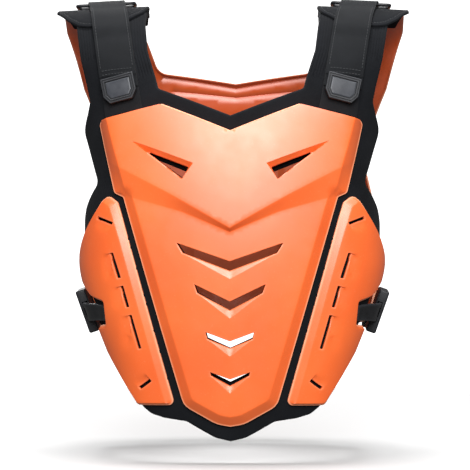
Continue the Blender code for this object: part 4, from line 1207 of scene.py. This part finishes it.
def back_shell():
    corners = [back_spot(row[1], row[2]) for row in BACK_OUTLINE]
    corners, radii, widths = both_sides(corners, [row[3] * CORNER for row in BACK_OUTLINE],
                                        [row[4] for row in BACK_OUTLINE])
    corners = [Vector((corner.x, -corner.y)) for corner in corners]
    rim = Rim(corners, radii, widths)
    ribs = [(back_spot(0, middle), back_spot(across, side)) for name, middle, across, side in BACK_RIBS]
    ribs = [[Vector((spot.x, -spot.y)) for spot in rib] for rib in ribs]

    def rib_rise(points):
        best = np.zeros(len(points))
        for rib in ribs:
            best = np.maximum(best, 1 - ramp(gap(points, rib), 0, RIB_HALF, CREASE / 2))
        return RIB_RISE * best

    def top(points):
        right = folded(points)
        spine = 1 - ramp(right[:, 0], SPINE_HALF, SPINE_HALF + SPINE_EDGE, CREASE)
        start = -ribs[1][0].y
        below = smooth(-right[:, 1], start + SPINE_START, start + SPINE_FULL)
        face = BACK_RISE * yoke_share(right[:, 1]) + SPINE_RISE * spine * below + rib_rise(right)
        return BACK_RIM + face * rim.share(points)

    creases, rib_edges = [], []
    for middle, side in ribs:
        ahead = (side - middle).normalized()
        across = Vector((-ahead.y, ahead.x)) * RIB_HALF
        creases += across_lines([middle, side], spread=CREASE / 2)
        rib_edges += [[middle + across, side + across], [middle - across, side - across]]
    creases += rib_edges
    for out in (SPINE_HALF, SPINE_HALF + SPINE_EDGE):
        creases += across_lines([Vector((out, ribs[1][0].y)), Vector((out, -BACK_LENGTH))])
    lines = two_sided(creases)
    lines += across_lines(rim.inner, True)
    lines += rim.mitres
    points, faces, edge, edge_highlight_and_wear = flat_net(rim.line, [], lines, WIDE_MESH, EDGE_ROWS)
    # The rib crests get a painted highlight on top of the paler rim
    crest = np.min([gap(folded(points), line) for line in rib_edges], axis=0)
    net = points, faces, edge, np.maximum(edge_highlight_and_wear, RIB_CREST_HIGHLIGHT * np.exp(-(crest / RIM_REACH) ** 2))
    # The back plate's inner face takes less of the painted shade
    mesh = shell_mesh("back_shell", net, top, BACK_INNER_SHADE)
    add_piece("back_shell", mesh, "orange_shell", "back_plate")


# Foam

def chest_pad():
    arm_inner = ARM_CENTRE - ARM_WIDTH / 2
    arm_outer = ARM_CENTRE + ARM_WIDTH / 2
    rows = [(Vector((0, COLLAR_RUN - COLLAR_BAND)), 0)]
    rows += [(front_spot(across, down), corner) for name, across, down, corner in PAD_NECK]
    rows += [
        (Vector((arm_inner, 0.30 * COLLAR_RUN)), 4),
        (Vector((arm_inner, -ARM_OVER)), 0.5),
        (Vector((arm_outer, -ARM_OVER)), 0.5),
        (Vector((arm_outer, 0.30 * COLLAR_RUN)), 4),
        (Vector((arm_outer - 0.06 * ARM_WIDTH, 0.54 * COLLAR_RUN)), 4),
    ]
    rows += [(front_spot(across, down), corner) for name, across, down, corner in PAD_SIDE]
    rows += [(wing_spot(out, down) - Vector((WING_FOAM_INSET, 0)), corner)
             for name, out, down, corner in PAD_FLANK]
    rows += [(Vector((across * CHEST_HALF, down_at(2) + share * FOOT_BAND)), corner)
             for name, across, share, corner in PAD_FOOT]
    corners, radii, _ = both_sides([spot for spot, corner in rows],
                                   [corner * CORNER for spot, corner in rows], [0] * len(rows))
    outline = np.array([tuple(spot) for spot in round_corners(corners, radii)[0]])
    eye = spots_of(EYE_FOAM)
    holes = [eye, [Vector((-spot.x, spot.y)) for spot in eye]]
    for (loop, _), open_share in zip(chevron_loops(), CHEVRON_OPEN):
        top_middle, tip, low, foot_middle = loop
        foot_middle = top_middle.lerp(foot_middle, open_share)
        low = tip.lerp(low, open_share)
        full = full_chevron([top_middle, tip, low, foot_middle])
        holes.append(offset_corners(full, [-FOAM_EASE] * len(full)))
    # The sewn grooves follow the pad's own edge down the shoulder arms and along the neck
    neck_end = down_at(PAD_NECK[0][2]) - 0.006
    right = outline[outline[:, 0] > 0]
    arm = right[(right[:, 1] < neck_end) & (right[:, 0] < ARM_CENTRE)]
    arm = arm[np.argsort(-arm[:, 1])]
    outer = right[(right[:, 1] < 0.62 * COLLAR_RUN) & (right[:, 0] > ARM_CENTRE)]
    outer = outer[np.argsort(outer[:, 1])]
    grooves = []
    for line in (dense(arm, WIDE_MESH), dense(outer, WIDE_MESH)):
        for distance in ARM_GROOVES:
            side = beside(line, distance)
            if not inside(side[len(side) // 2][None], outline)[0]:
                side = beside(line, -distance)
            grooves.append(side)

    def dip(points):
        right_side = folded(points)
        near = right_side[:, 1] < 0.80 * COLLAR_RUN
        depth = np.zeros(len(points))
        for groove in grooves:
            away = gap(right_side[near], groove)
            depth[near] = np.maximum(depth[near], 1 - smooth(away, 0, 1.5 * GROOVE_HALF))
        return GROOVE_DEPTH * depth

    lines = []
    for groove in grooves:
        lines += [groove, beside(groove, GROOVE_HALF), beside(groove, -GROOVE_HALF)]
    net = flat_net(outline, holes, two_sided(lines), WIDE_MESH, SOFT_ROWS)
    mesh = sheet_mesh("chest_pad", [FOAM_KNIT], net, lambda points: FOAM - dip(points),
                      lambda points: np.zeros(len(points)), FOAM_ROUND)
    piece = add_piece("chest_pad", mesh, "foam", "front_pad")


def flap_outline():
    edge = FLAP_FRONT
    rows = [
        (Vector((FLAP_INNER + 0.006, -FLAP_BACK)), 0.5),
        (Vector((FLAP_INNER, 0.0)), 2),
        (Vector((FLAP_INNER, FLAP_CREST)), 1),
        (Vector((FLAP_INNER + 0.005, 0.65 * edge)), 2),
        (Vector((FLAP_INNER + 0.024, 0.93 * edge)), 2),
        (Vector((FLAP_OUTER - 0.042, edge)), 2),
        (Vector((FLAP_OUTER - 0.029, 0.96 * edge)), 2),
        (Vector((FLAP_OUTER - 0.016, 0.80 * edge)), 2),
        (Vector((FLAP_OUTER, FLAP_CREST)), 1),
        (Vector((FLAP_OUTER, 0.0)), 2),
        (Vector((FLAP_OUTER - 0.012, -FLAP_BACK)), 0.5),
    ]
    radii = [corner * CORNER for spot, corner in rows]
    return round_corners([spot for spot, corner in rows], radii)[0]


def shoulder_flaps():
    outline = np.array([tuple(spot) for spot in flap_outline()])
    seam = beside(dense(outline, SEAM_MESH, True), loop_sense(outline) * FOAM_SEAM, True)

    def top(points):
        away = gap(points, seam, True)
        return FLAP_TOP - FOAM_SEAM_DIP * (1 - smooth(away, 0, FOAM_SEAM_SOFT))

    ring = np.vstack([seam, seam[:1]])
    lines = [ring, beside(ring, FOAM_SEAM_HALF), beside(ring, -FOAM_SEAM_HALF)]
    net = flat_net(outline, [], lines, FLAP_MESH, SOFT_ROWS)
    mesh = sheet_mesh("flap_right", [FOAM_KNIT], net, top,
                      lambda points: np.full(len(points), SEAT), FLAP_ROUND)
    for piece in add_pair("flap", mesh, "foam", "shoulder_flap"):
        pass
    stitches("flap_seam", seam[:, 0], seam[:, 1], FLAP_TOP - 0.0003, True)


# Webbing and thread

def ribbon(name, path, spot, width, thickness):
    """A webbing band along a path of (along, lift) places, with thicker woven edges."""
    half = np.array([0, 0.012, 0.04, 0.075, 0.11, 0.16, 0.3, 0.45, 0.6, 0.8, 1.0])
    sides = np.concatenate([-1 + half, (1 - half[:-1])[::-1]])
    inset = 1 - np.abs(sides)
    selvedge = smooth(inset, 0.0, 0.03) * (1 - smooth(inset, 0.09, 0.13))
    full = np.sqrt(np.clip(inset / 0.012, 0, 1)) * (1 + 0.10 * selvedge) / 1.10
    ring = [(side, thick) for side, thick in zip(sides, full)]
    ring += [(side, -thick) for side, thick in zip(sides[-2:0:-1], full[-2:0:-1])]
    ring = np.array(ring)
    back = np.vstack([path[:1], path[:-1]])
    ahead = np.vstack([path[1:], path[-1:]])
    way = unit(ahead - back)
    across = np.stack([-way[:, 1], way[:, 0]], 1) * thickness / 2
    along = path[:, 0][:, None] + across[:, 0][:, None] * ring[:, 1]
    lift = path[:, 1][:, None] + across[:, 1][:, None] * ring[:, 1]
    sideways = np.broadcast_to(ring[:, 0] * width / 2, along.shape)
    corners = spot(along, sideways, lift).reshape(-1, 3)
    mesh = make_mesh(name, corners, ring_faces(len(path), len(ring)), [WEBBING], 60)
    outward(mesh)
    layer = mesh.uv_layers.new(name="UVMap")
    uv = np.stack([sideways.ravel(), np.repeat(lengths_along(path), len(ring))], 1)
    index = np.zeros(len(mesh.loops), int)
    mesh.loops.foreach_get("vertex_index", index)
    layer.data.foreach_set("uv", uv[index].astype(np.float32).ravel())
    return mesh


def outward(mesh):
    """Turns the faces outwards if the closed mesh is inside out."""
    volume = 0.0
    corners = np.zeros(len(mesh.vertices) * 3)
    mesh.vertices.foreach_get("co", corners)
    corners = corners.reshape(-1, 3)
    corners = corners - corners.mean(0)
    for face in mesh.polygons:
        spots = corners[list(face.vertices)]
        for b, c in zip(spots[1:], spots[2:]):
            volume += np.dot(spots[0], np.cross(b, c))
    if volume < 0:
        mesh.flip_normals()


def ring_points(centres, sideways, upwards, radii, sides):
    """A ring of points round each centre."""
    points = []
    for centre, side, up, radius in zip(centres, sideways, upwards, radii):
        for k in range(sides):
            angle = 2 * math.pi * k / sides
            points.append(centre + radius * (math.cos(angle) * side + math.sin(angle) * up))
    return points


def stitches(name, across, run, lift, closed=False, pitch=STITCH_PITCH):
    """Sewn threads along a line of pattern places on both sides: spindles that dive in at their ends."""
    line = np.stack([np.asarray(across, float), np.asarray(run, float)], 1)
    if closed:
        line = np.vstack([line, line[:1]])
    lift = np.broadcast_to(np.asarray(lift, float), np.shape(across))
    if closed:
        lift = np.append(lift, lift[0])
    lengths = lengths_along(line)
    starts = np.arange(pitch / 2, lengths[-1] - STITCH, pitch)
    sides = 6
    shares = np.array([0.0, 0.12, 0.5, 0.88, 1.0])
    thick = np.array([0.35, 0.9, 1.0, 0.9, 0.35]) * THREAD
    rise = np.array([-0.8, 0.1, 0.6, 0.1, -0.8]) * THREAD
    corners, faces = [], []
    for start in starts:
        at = start + shares * STITCH
        spots = np.stack([np.interp(at, lengths, line[:, k]) for k in (0, 1)], 1)
        height = np.interp(at, lengths, lift) + rise
        centre = laid(spots[:, 0], spots[:, 1], height)
        out = way_out(spots[:, 0], spots[:, 1])
        side = np.cross(out, unit(centre[-1] - centre[0]))
        faces += ring_faces(len(shares), sides, len(corners))
        corners += ring_points(centre, side, out, thick, sides)
    mesh = make_mesh(f"{name}_right", corners, faces, [THREAD_BLACK], 70)
    outward(mesh)
    add_pair(name, mesh, "webbing")


def strap_centre(run):
    return STRAP_TOP_CENTRE - STRAP_LEAN * run


def flap_ramp(run):
    """The floor under the lower webbing: the foam, and the flap above its front edge."""
    rise = 1 - smooth(run, FLAP_FRONT + FLAP_CLEAR, FLAP_FRONT + FLAP_CLEAR + FLAP_RAMP)
    return FOAM + (FLAP_TOP - FOAM) * rise


RING_LIFT = FLAP_TOP + WEB_GAP + WEB + WEB_GAP + RING_ROD / 2
RING_FRONT_RUN = RING_DEPTH / 2 - RING_BACK
RING_REAR_RUN = -RING_DEPTH / 2 - RING_BACK
FOLD_RADIUS = RING_ROD / 2 + WEB_GAP + WEB / 2


def plate_top_edge(across):
    """The run of the front plate's shoulder edge at a place across."""
    peak = table_spot(PLATE_OUTLINE, "collar peak")
    corner = table_spot(PLATE_OUTLINE, "shoulder corner")
    return peak.y + (across - peak.x) * (corner.y - peak.y) / (corner.x - peak.x)


def half_turn(centre, radius, start, sense, steps=14):
    """Points of a half circle in the (along, lift) plane; sense is 1 or -1, the way it turns."""
    angle = start + sense * math.pi * np.arange(steps + 1) / steps
    return np.array(centre) + np.stack([np.cos(angle), np.sin(angle)], 1) * radius


def steps_between(start, end, spacing=RUN_STEP):
    return np.linspace(start, end, max(2, math.ceil(abs(end - start) / spacing) + 1))


def upper_lift(run):
    """The lift of the strap's upper layer, from the ring down to the badge."""
    floor = flap_ramp(run) + 2 * WEB_GAP + 1.5 * WEB
    settle = 1 - smooth(run, RING_FRONT_RUN, RING_FRONT_RUN + STRAP_SETTLE)
    return floor + (RING_LIFT + FOLD_RADIUS - floor) * settle


def shoulder_straps():
    end = plate_top_edge(strap_centre(STRAP_END_SHARE * COLLAR_RUN)) - WEB_GAP
    slope = (plate_top_edge(STRAP_WIDTH) - plate_top_edge(0)) / STRAP_WIDTH
    runs = steps_between(end, RING_FRONT_RUN + FOLD_RADIUS)
    lower = np.stack([runs, flap_ramp(runs) + WEB_GAP + WEB / 2], 1)
    fold = half_turn((RING_FRONT_RUN, RING_LIFT), FOLD_RADIUS, -math.pi / 2, -1)
    runs = steps_between(RING_FRONT_RUN + FOLD_RADIUS, STRAP_FOLD_RUN)
    upper = np.stack([runs, upper_lift(runs)], 1)
    path = np.vstack([lower, fold, upper])

    def spot(run, sideways, lift):
        at_end = smooth(run, end - 0.5 * STRAP_WIDTH, end)
        return laid(strap_centre(run) + sideways, run + slope * sideways * at_end, lift)

    add_pair("strap", ribbon("strap_right", path, spot, STRAP_WIDTH, WEB), "webbing", "shoulder_strap")

    # The turned hem above the badge, and its seams
    hem_foot = BADGE_RUN - BADGE_HEIGHT / 2 - HEM_GAP
    hem_runs = steps_between(hem_foot - HEM_LONG, hem_foot, RUN_STEP / 2)
    hem = np.stack([hem_runs, upper_lift(hem_runs) + WEB / 2 + HEM_THICK / 2], 1)
    add_pair("strap_hem", ribbon("strap_hem_right", hem, spot, STRAP_WIDTH - 0.0006, HEM_THICK), "webbing")
    top = WEB / 2 + THREAD_PROUD
    half = STRAP_WIDTH / 2
    sideways = np.linspace(-half + 0.003, half - 0.003, 24)
    for name, up, extra in (("hem_seam", HEM_SEAM, HEM_THICK), ("cross_seam", CROSS_SEAM, 0.0)):
        run = hem_foot - up
        stitches(name, strap_centre(run) + sideways, np.full(24, run), upper_lift(run) + top + extra)
    for name, side in (("inner_seam", -1), ("outer_seam", 1)):
        runs = np.linspace(RING_FRONT_RUN + 0.030, hem_foot - 0.009, 40)
        stitches(name, strap_centre(runs) + side * (half - SIDE_SEAM), runs, upper_lift(runs) + top)


def tube(name, points, radius, material, sides=14):
    """A round rod along a closed line of points in space."""
    way = unit(np.roll(points, -1, axis=0) - np.roll(points, 1, axis=0))
    normal = np.linalg.svd(points - points.mean(0))[2][2]
    side = unit(np.cross(way, normal))
    count = len(points)
    corners = ring_points(points, side, np.cross(side, way), [radius] * count, sides)
    mesh = make_mesh(name, corners, ring_faces(count, sides, closed=True), [material], 80)
    outward(mesh)
    set_values(mesh, "rim", np.full(len(corners), 0.15))
    return mesh


def sewn_box(name, low, high, level):
    """A sewn box with a cross in it, between two opposite corners."""
    (x, y), (far_x, far_y) = low, high
    loop = dense([(x, y), (far_x, y), (far_x, far_y), (x, far_y)], SEAM_MESH, True)
    cross = dense([(x, y), (far_x, far_y)], SEAM_MESH)
    slant = dense([(far_x, y), (x, far_y)], SEAM_MESH)
    for kind, line in (("box", loop), ("cross", cross), ("slant", slant)):
        stitches(f"{name}_{kind}", line[:, 0], line[:, 1], level(line), kind == "box")


def rings():
    centre = Vector((strap_centre(0), -RING_BACK))
    half = Vector((RING_WIDTH / 2, RING_DEPTH / 2))
    corners = [centre + Vector((x * half.x, y * half.y)) for x, y in ((-1, -1), (1, -1), (1, 1), (-1, 1))]
    path = dense(round_corners(corners, [RING_CORNER] * 4)[0], RUN_STEP, True)
    mesh = tube("ring_right", laid(path[:, 0], path[:, 1], RING_LIFT), RING_ROD / 2, PLASTIC)
    add_pair("ring", mesh, "buckle_plastic", "strap_ring")


def ring_anchors():
    """Webbing from the ring's rear bar down onto the back plate's horn."""
    horn = -table_row(BACK_OUTLINE, "horn inner")[2] * BACK_LENGTH
    far = horn - ANCHOR_LENGTH
    runs = steps_between(far, RING_REAR_RUN)
    settle = smooth(runs, horn, RING_REAR_RUN)
    low_level = back_face(runs) + WEB_GAP + WEB / 2
    top_level = low_level + WEB + WEB_GAP
    upper = np.stack([runs, top_level + (RING_LIFT + FOLD_RADIUS - top_level) * settle], 1)
    lower = np.stack([runs, low_level + (RING_LIFT - FOLD_RADIUS - low_level) * settle], 1)
    fold = half_turn((RING_REAR_RUN, RING_LIFT), FOLD_RADIUS, math.pi / 2, -1)[1:-1]
    path = np.vstack([upper, fold, lower[::-1]])

    def spot(run, sideways, lift):
        return laid(strap_centre(0) + sideways, run, lift)

    add_pair("anchor", ribbon("anchor_right", path, spot, ANCHOR_WIDTH, WEB), "webbing", "ring_anchor")

    def level(points):
        rise = smooth(points[:, 1], horn, RING_REAR_RUN)
        low = back_face(points[:, 1]) + 2 * WEB_GAP + 1.5 * WEB
        return low + (RING_LIFT + FOLD_RADIUS - low) * rise + WEB / 2 + THREAD_PROUD

    half = ANCHOR_WIDTH / 2 - SEWN_INSET
    inner, outer = strap_centre(0) - half, strap_centre(0) + half
    sewn_box("anchor", (inner, far + SEWN_INSET), (outer, far + SEWN_LONG), level)


# Mouldings

def terrace(name, corners, radii, levels, matrix, materials, panel_from):
    """A moulding made of rings: at each level the outline is moved in and raised.

    The rings from panel_from on have the second material."""
    rings_made = []
    for inset, height in levels:
        moved = offset_corners(corners, [inset] * len(corners))
        line = round_corners(moved, [max(0.0002, radius - inset) for radius in radii])[0]
        rings_made.append([matrix @ Vector((spot.x, spot.y, height)) for spot in line])
    size = len(rings_made[0])
    spots = [spot for ring in rings_made for spot in ring]
    kinds = [int(row >= panel_from) for row in range(len(rings_made) - 1) for k in range(size)]
    mesh = make_mesh(name, spots, ring_faces(len(rings_made), size), materials, 30)
    mesh.polygons.foreach_set("material_index", [*kinds, 0, 1])
    outward(mesh)
    return mesh, size


def badges():
    """The strap's hexagonal end: a double frame around a raised bare panel."""
    half, tall = BADGE_WIDTH / 2, BADGE_HEIGHT / 2
    foot, low = BADGE_SLANT[0] * half, -BADGE_SLANT[1] * tall
    corners = [Vector(spot) for spot in ((-half, tall), (half, tall), (half, low), (foot, -tall),
                                         (-foot, -tall), (-half, low))]
    lift = flap_ramp(BADGE_RUN) + 2 * WEB_GAP + 2 * WEB + BADGE_GAP
    lean = Matrix.Rotation(-math.atan(STRAP_LEAN), 4, "Z")
    matrix = frame_at(strap_centre(BADGE_RUN), BADGE_RUN, lift) @ lean
    levels = [(inset, BADGE_THICK - depth) for name, inset, depth, pale in BADGE_RINGS]
    mesh, size = terrace("badge_right", corners, [MOULD_CORNER] * 6, levels, matrix,
                         [PLASTIC, BADGE_PANEL], BADGE_PANEL_RING)
    # The ridges' paleness is a painted highlight
    set_values(mesh, "rim", np.repeat([pale for name, inset, depth, pale in BADGE_RINGS], size))
    add_pair("badge", mesh, "buckle_plastic", "strap_badge")


def belt_run():
    """The belt is level with the middle of the flank shell's notch."""
    return wing_spot(0, BELT_SHARE).y


def buckle_tongues():
    """From the flank shell's notch on the foam up into the side buckle's pocket."""
    middle = belt_run()
    notch_top, notch_foot = (wing_spot(*table_row(WING_OUTLINE, name)[1:3])
                             for name in ("notch inner top", "notch inner foot"))
    mouth = BUCKLE_ACROSS - BUCKLE_LONG / 2
    end = mouth + POCKET_DEPTH - TONGUE_SHORT
    level = BUCKLE_LIFT - TONGUE_THICK / 2
    tall = TONGUE_TALL / 2
    root = TONGUE_ROOT * tall
    slant = (notch_foot.x - notch_top.x) / (notch_foot.y - notch_top.y)
    start = (notch_foot.x + notch_top.x) / 2 + WEB_GAP
    shoulder = mouth - TONGUE_SHOULDER
    corners = [Vector(spot) for spot in (
        (start - slant * root, middle - root), (shoulder, middle - tall), (end, middle - tall),
        (end, middle + tall), (shoulder, middle + tall), (start + slant * root, middle + root))]
    outline = round_corners(corners, [MOULD_CORNER] * 6)[0]

    def base(points):
        rise = smooth(points[:, 0], start + TONGUE_SHOULDER, shoulder + 0.5 * TONGUE_SHOULDER)
        return SEAT + (level - SEAT) * rise

    def top(points):
        away = np.abs(points[:, 1] - middle)
        groove = 1 - ramp(away, TONGUE_GROOVE[0] * tall, TONGUE_GROOVE[1] * tall, 0.0003)
        return base(points) + TONGUE_THICK - TONGUE_ROUND * groove

    lines = [[(start + 0.002, middle + side * share * tall), (end - 0.002, middle + side * share * tall)]
             for side in (-1, 1) for share in TONGUE_GROOVE]
    net = flat_net(outline, [], lines, TONGUE_MESH, (0.0003, TONGUE_ROUND))
    mesh = sheet_mesh("tongue_right", [PLASTIC], net, top, base, TONGUE_ROUND)
    add_pair("tongue", mesh, "buckle_plastic", "buckle_tongue")


def box(name, size, matrix, rounding=0.0, segments=3):
    """A block with rounded edges, for the buckle's making."""
    x, y, z = (side / 2 for side in size)
    corners = [(i * x, j * y, k * z) for i in (-1, 1) for j in (-1, 1) for k in (-1, 1)]
    faces = [(0, 1, 3, 2), (4, 6, 7, 5), (0, 4, 5, 1), (2, 3, 7, 6), (0, 2, 6, 4), (1, 5, 7, 3)]
    mesh = bpy.data.meshes.new(name)
    mesh.from_pydata(corners, [], faces)
    block = bpy.data.objects.new(name, mesh)
    bpy.context.scene.collection.objects.link(block)
    block.matrix_world = matrix
    if rounding:
        bevel = block.modifiers.new("rounded", "BEVEL")
        bevel.width = rounding
        bevel.segments = segments
    return block


def side_buckles():
    """A rounded block with a pocket for the tongue, a slot for the belt and finger grooves."""
    frame_here = frame_at(BUCKLE_ACROSS, belt_run(), BUCKLE_LIFT)
    rear = BUCKLE_LONG / 2
    block = box("buckle_right", (BUCKLE_LONG, BUCKLE_TALL, BUCKLE_THICK), frame_here, 0.0024, 4)
    cutters = [
        box("window", (2 * BAR_ROOM + BAR, SLOT_TALL, 2 * BUCKLE_THICK),
            frame_here @ Matrix.Translation((rear, 0, 0)), 0.0008, 2),
        box("pocket", (2 * POCKET_DEPTH, POCKET_TALL, TONGUE_THICK + 2 * TONGUE_GAP),
            frame_here @ Matrix.Translation((-rear, 0, -POCKET_DROP))),
        box("panel", (GRIP_PANEL[0], BUCKLE_TALL - GRIP_PANEL[1], GRIP_PANEL[2]),
            frame_here @ Matrix.Translation((GRIP_MIDDLE, 0, BUCKLE_THICK / 2)), 0.0004, 1),
    ]
    bar = box("bar", (BAR, (BUCKLE_TALL + SLOT_TALL) / 2, BAR),
              frame_here @ Matrix.Translation((rear - BAR, 0, 0)), MOULD_CORNER, 3)
    ribs = [box("rib", GRIP_RIB,
                frame_here @ Matrix.Translation((GRIP_MIDDLE, offset, BUCKLE_THICK / 2 - 0.0002)), 0.0003, 1)
            for offset in np.linspace(-GRIP_REACH, GRIP_REACH, GRIP_COUNT)]
    for other in (*cutters, bar, *ribs):
        modifier = block.modifiers.new(other.name, "BOOLEAN")
        modifier.operation = "DIFFERENCE" if other in cutters else "UNION"
        modifier.object = other
        modifier.solver = "EXACT"
    bpy.context.view_layer.update()
    graph = bpy.context.evaluated_depsgraph_get()
    mesh = bpy.data.meshes.new_from_object(block.evaluated_get(graph))
    mesh.transform(frame_here)
    for helper in (block, bar, *cutters, *ribs):
        bpy.data.objects.remove(helper, do_unlink=True)
    mesh.materials.clear()
    mesh.materials.append(PLASTIC)
    mesh.shade_smooth()
    mesh.set_sharp_from_angle(angle=math.radians(32))
    mesh.name = "buckle_right"
    inverse = np.array(frame_here.inverted())
    corners = np.zeros(len(mesh.vertices) * 3)
    mesh.vertices.foreach_get("co", corners)
    local = corners.reshape(-1, 3) @ inverse[:3, :3].T + inverse[:3, 3]
    border = np.min([BUCKLE_LONG / 2 - np.abs(local[:, 0]), BUCKLE_TALL / 2 - np.abs(local[:, 1])], axis=0)
    # Paler along the block's border: a painted edge highlight with some wear
    set_values(mesh, "rim", 0.5 * np.exp(-(border / 0.0015) ** 2))
    add_pair("buckle", mesh, "buckle_plastic", "side_buckle")


def side_join():
    """The belt's run on the back, and the two girths' sum where front and back meet."""
    flat = FLAT_GIRTH + (math.pi / 2 - CHEST_TURN) * SIDE_RADIUS
    front = laid(flat, belt_run(), 0)
    low, high = 0.5 * belt_run(), 1.5 * belt_run()
    for _ in range(40):
        back_run = (low + high) / 2
        if laid(flat, -back_run, 0)[2] > front[2]:
            low = back_run
        else:
            high = back_run
    return back_run, laid(flat, -back_run, 0)[1] - front[1] + 2 * flat


def side_straps():
    back_run, total = side_join()
    tab_edge = table_row(BACK_OUTLINE, "belt top")[1] * BACK_HALF
    start = tab_edge - BELT_OVERLAP
    bar_along = total - (BUCKLE_ACROSS + BUCKLE_LONG / 2 - BAR)
    radius = BAR * math.sqrt(0.5) + WEB_GAP + WEB / 2
    on_tab = BACK_RIM + BACK_RISE + BELT_GAP + WEB / 2
    along = steps_between(start, bar_along)
    settle = smooth(along, tab_edge + WEB, bar_along)
    outer = np.stack([along, on_tab + (BUCKLE_LIFT + radius - on_tab) * settle], 1)
    fold = half_turn((bar_along, BUCKLE_LIFT), radius, math.pi / 2, -1)[1:]
    along = steps_between(bar_along, bar_along - BELT_FOLD)[1:]
    inner = np.stack([along, np.full(len(along), BUCKLE_LIFT - radius)], 1)
    path = np.vstack([outer, fold, inner])
    matrix = np.array(frame_at(BUCKLE_ACROSS, belt_run(), BUCKLE_LIFT))

    def spot(along, sideways, lift):
        """Laid on the torso, but square to the block where it comes to the block's bar."""
        front = laid(total - along, belt_run() + sideways, lift)
        behind = laid(along, -(back_run + sideways), lift)
        laid_here = np.where((along > total / 2)[..., None], front, behind)
        local = np.stack([total - along - BUCKLE_ACROSS, -sideways, lift - BUCKLE_LIFT], -1)
        square = local @ matrix[:3, :3].T + matrix[:3, 3]
        share = smooth(along, tab_edge, bar_along - BELT_SQUARE)[..., None]
        return laid_here * (1 - share) + square * share

    add_pair("belt", ribbon("belt_right", path, spot, BELT_WIDTH, WEB), "webbing", "side_strap")
    # The box is sewn on the back plate's tab
    half = BELT_WIDTH / 2 - SEWN_INSET
    low = (start + SEWN_INSET, half - back_run)
    high = (tab_edge - 1.5 * SEWN_INSET, -half - back_run)
    sewn_box("belt", low, high, lambda line: on_tab + WEB / 2 + THREAD_PROUD)


# Studio

def add_lamp(name, lamp, place, aim):
    holder = bpy.data.objects.new(name, lamp)
    bpy.context.scene.collection.objects.link(holder)
    holder.location = place
    holder.rotation_euler = (aim - Vector(place)).to_track_quat("-Z", "Y").to_euler()


def studio():
    sides = FLOOR_SIDES
    turns = [2 * math.pi * k / sides for k in range(sides)]
    corners = [(0, 0, 0)]
    corners += [(FLOOR_RADIUS * math.cos(turn), FLOOR_RADIUS * math.sin(turn), 0) for turn in turns]
    mesh = bpy.data.meshes.new("floor")
    mesh.from_pydata(corners, [], [(0, k + 1, (k + 1) % sides + 1) for k in range(sides)])
    mesh.materials.append(floor_material())
    floor = bpy.data.objects.new("floor", mesh)
    bpy.context.scene.collection.objects.link(floor)
    floor.location.z = FLOOR_LEVEL
    # The floor takes the shadow, but throws no light up at the object
    floor.visible_diffuse = False
    floor.visible_glossy = False

    # The studio is white to the eye, but lights the object only softly from all round
    world = bpy.data.worlds.new("studio")
    world.use_nodes = True
    tree = world.node_tree
    around = tree.nodes["Background"]
    around.inputs["Color"].default_value = (1, 1, 1, 1)
    around.inputs["Strength"].default_value = AMBIENT
    white = tree.nodes.new("ShaderNodeBackground")
    white.inputs["Strength"].default_value = BACKDROP
    seen = tree.nodes.new("ShaderNodeLightPath")
    mix = tree.nodes.new("ShaderNodeMixShader")
    tree.links.new(seen.outputs["Is Camera Ray"], mix.inputs[0])
    tree.links.new(around.outputs[0], mix.inputs[1])
    tree.links.new(white.outputs[0], mix.inputs[2])
    tree.links.new(mix.outputs[0], tree.nodes["World Output"].inputs["Surface"])
    bpy.context.scene.world = world
    bpy.context.scene.view_settings.view_transform = "Standard"

    aim = Vector(LAMP_AIM)
    for name, place, spread, strength in SUNS:
        lamp = bpy.data.lights.new(name, "SUN")
        lamp.angle = math.radians(spread)
        lamp.energy = strength
        add_lamp(name, lamp, place, aim)
    for name, place, size, power in SOFT_BOXES:
        lamp = bpy.data.lights.new(name, "AREA")
        lamp.shape = "DISK"
        lamp.size = size
        lamp.energy = power
        add_lamp(name, lamp, place, aim)

    camera = bpy.data.cameras.new("camera")
    camera.sensor_width = SENSOR
    camera.lens = FOCAL_PIXELS / PHOTO_SIZE * SENSOR
    camera.shift_x = FRAME_SHIFT / PHOTO_SIZE
    camera.clip_end = 100
    holder = bpy.data.objects.new("camera", camera)
    bpy.context.scene.collection.objects.link(holder)
    holder.location = CAMERA_SPOT
    holder.rotation_euler = (math.pi / 2, 0, CAMERA_TURN)
    bpy.context.scene.camera = holder


chest_pad()
front_plate()
wing_shells()
back_shell()
shoulder_flaps()
shoulder_straps()
rings()
ring_anchors()
badges()
buckle_tongues()
side_buckles()
side_straps()
studio()
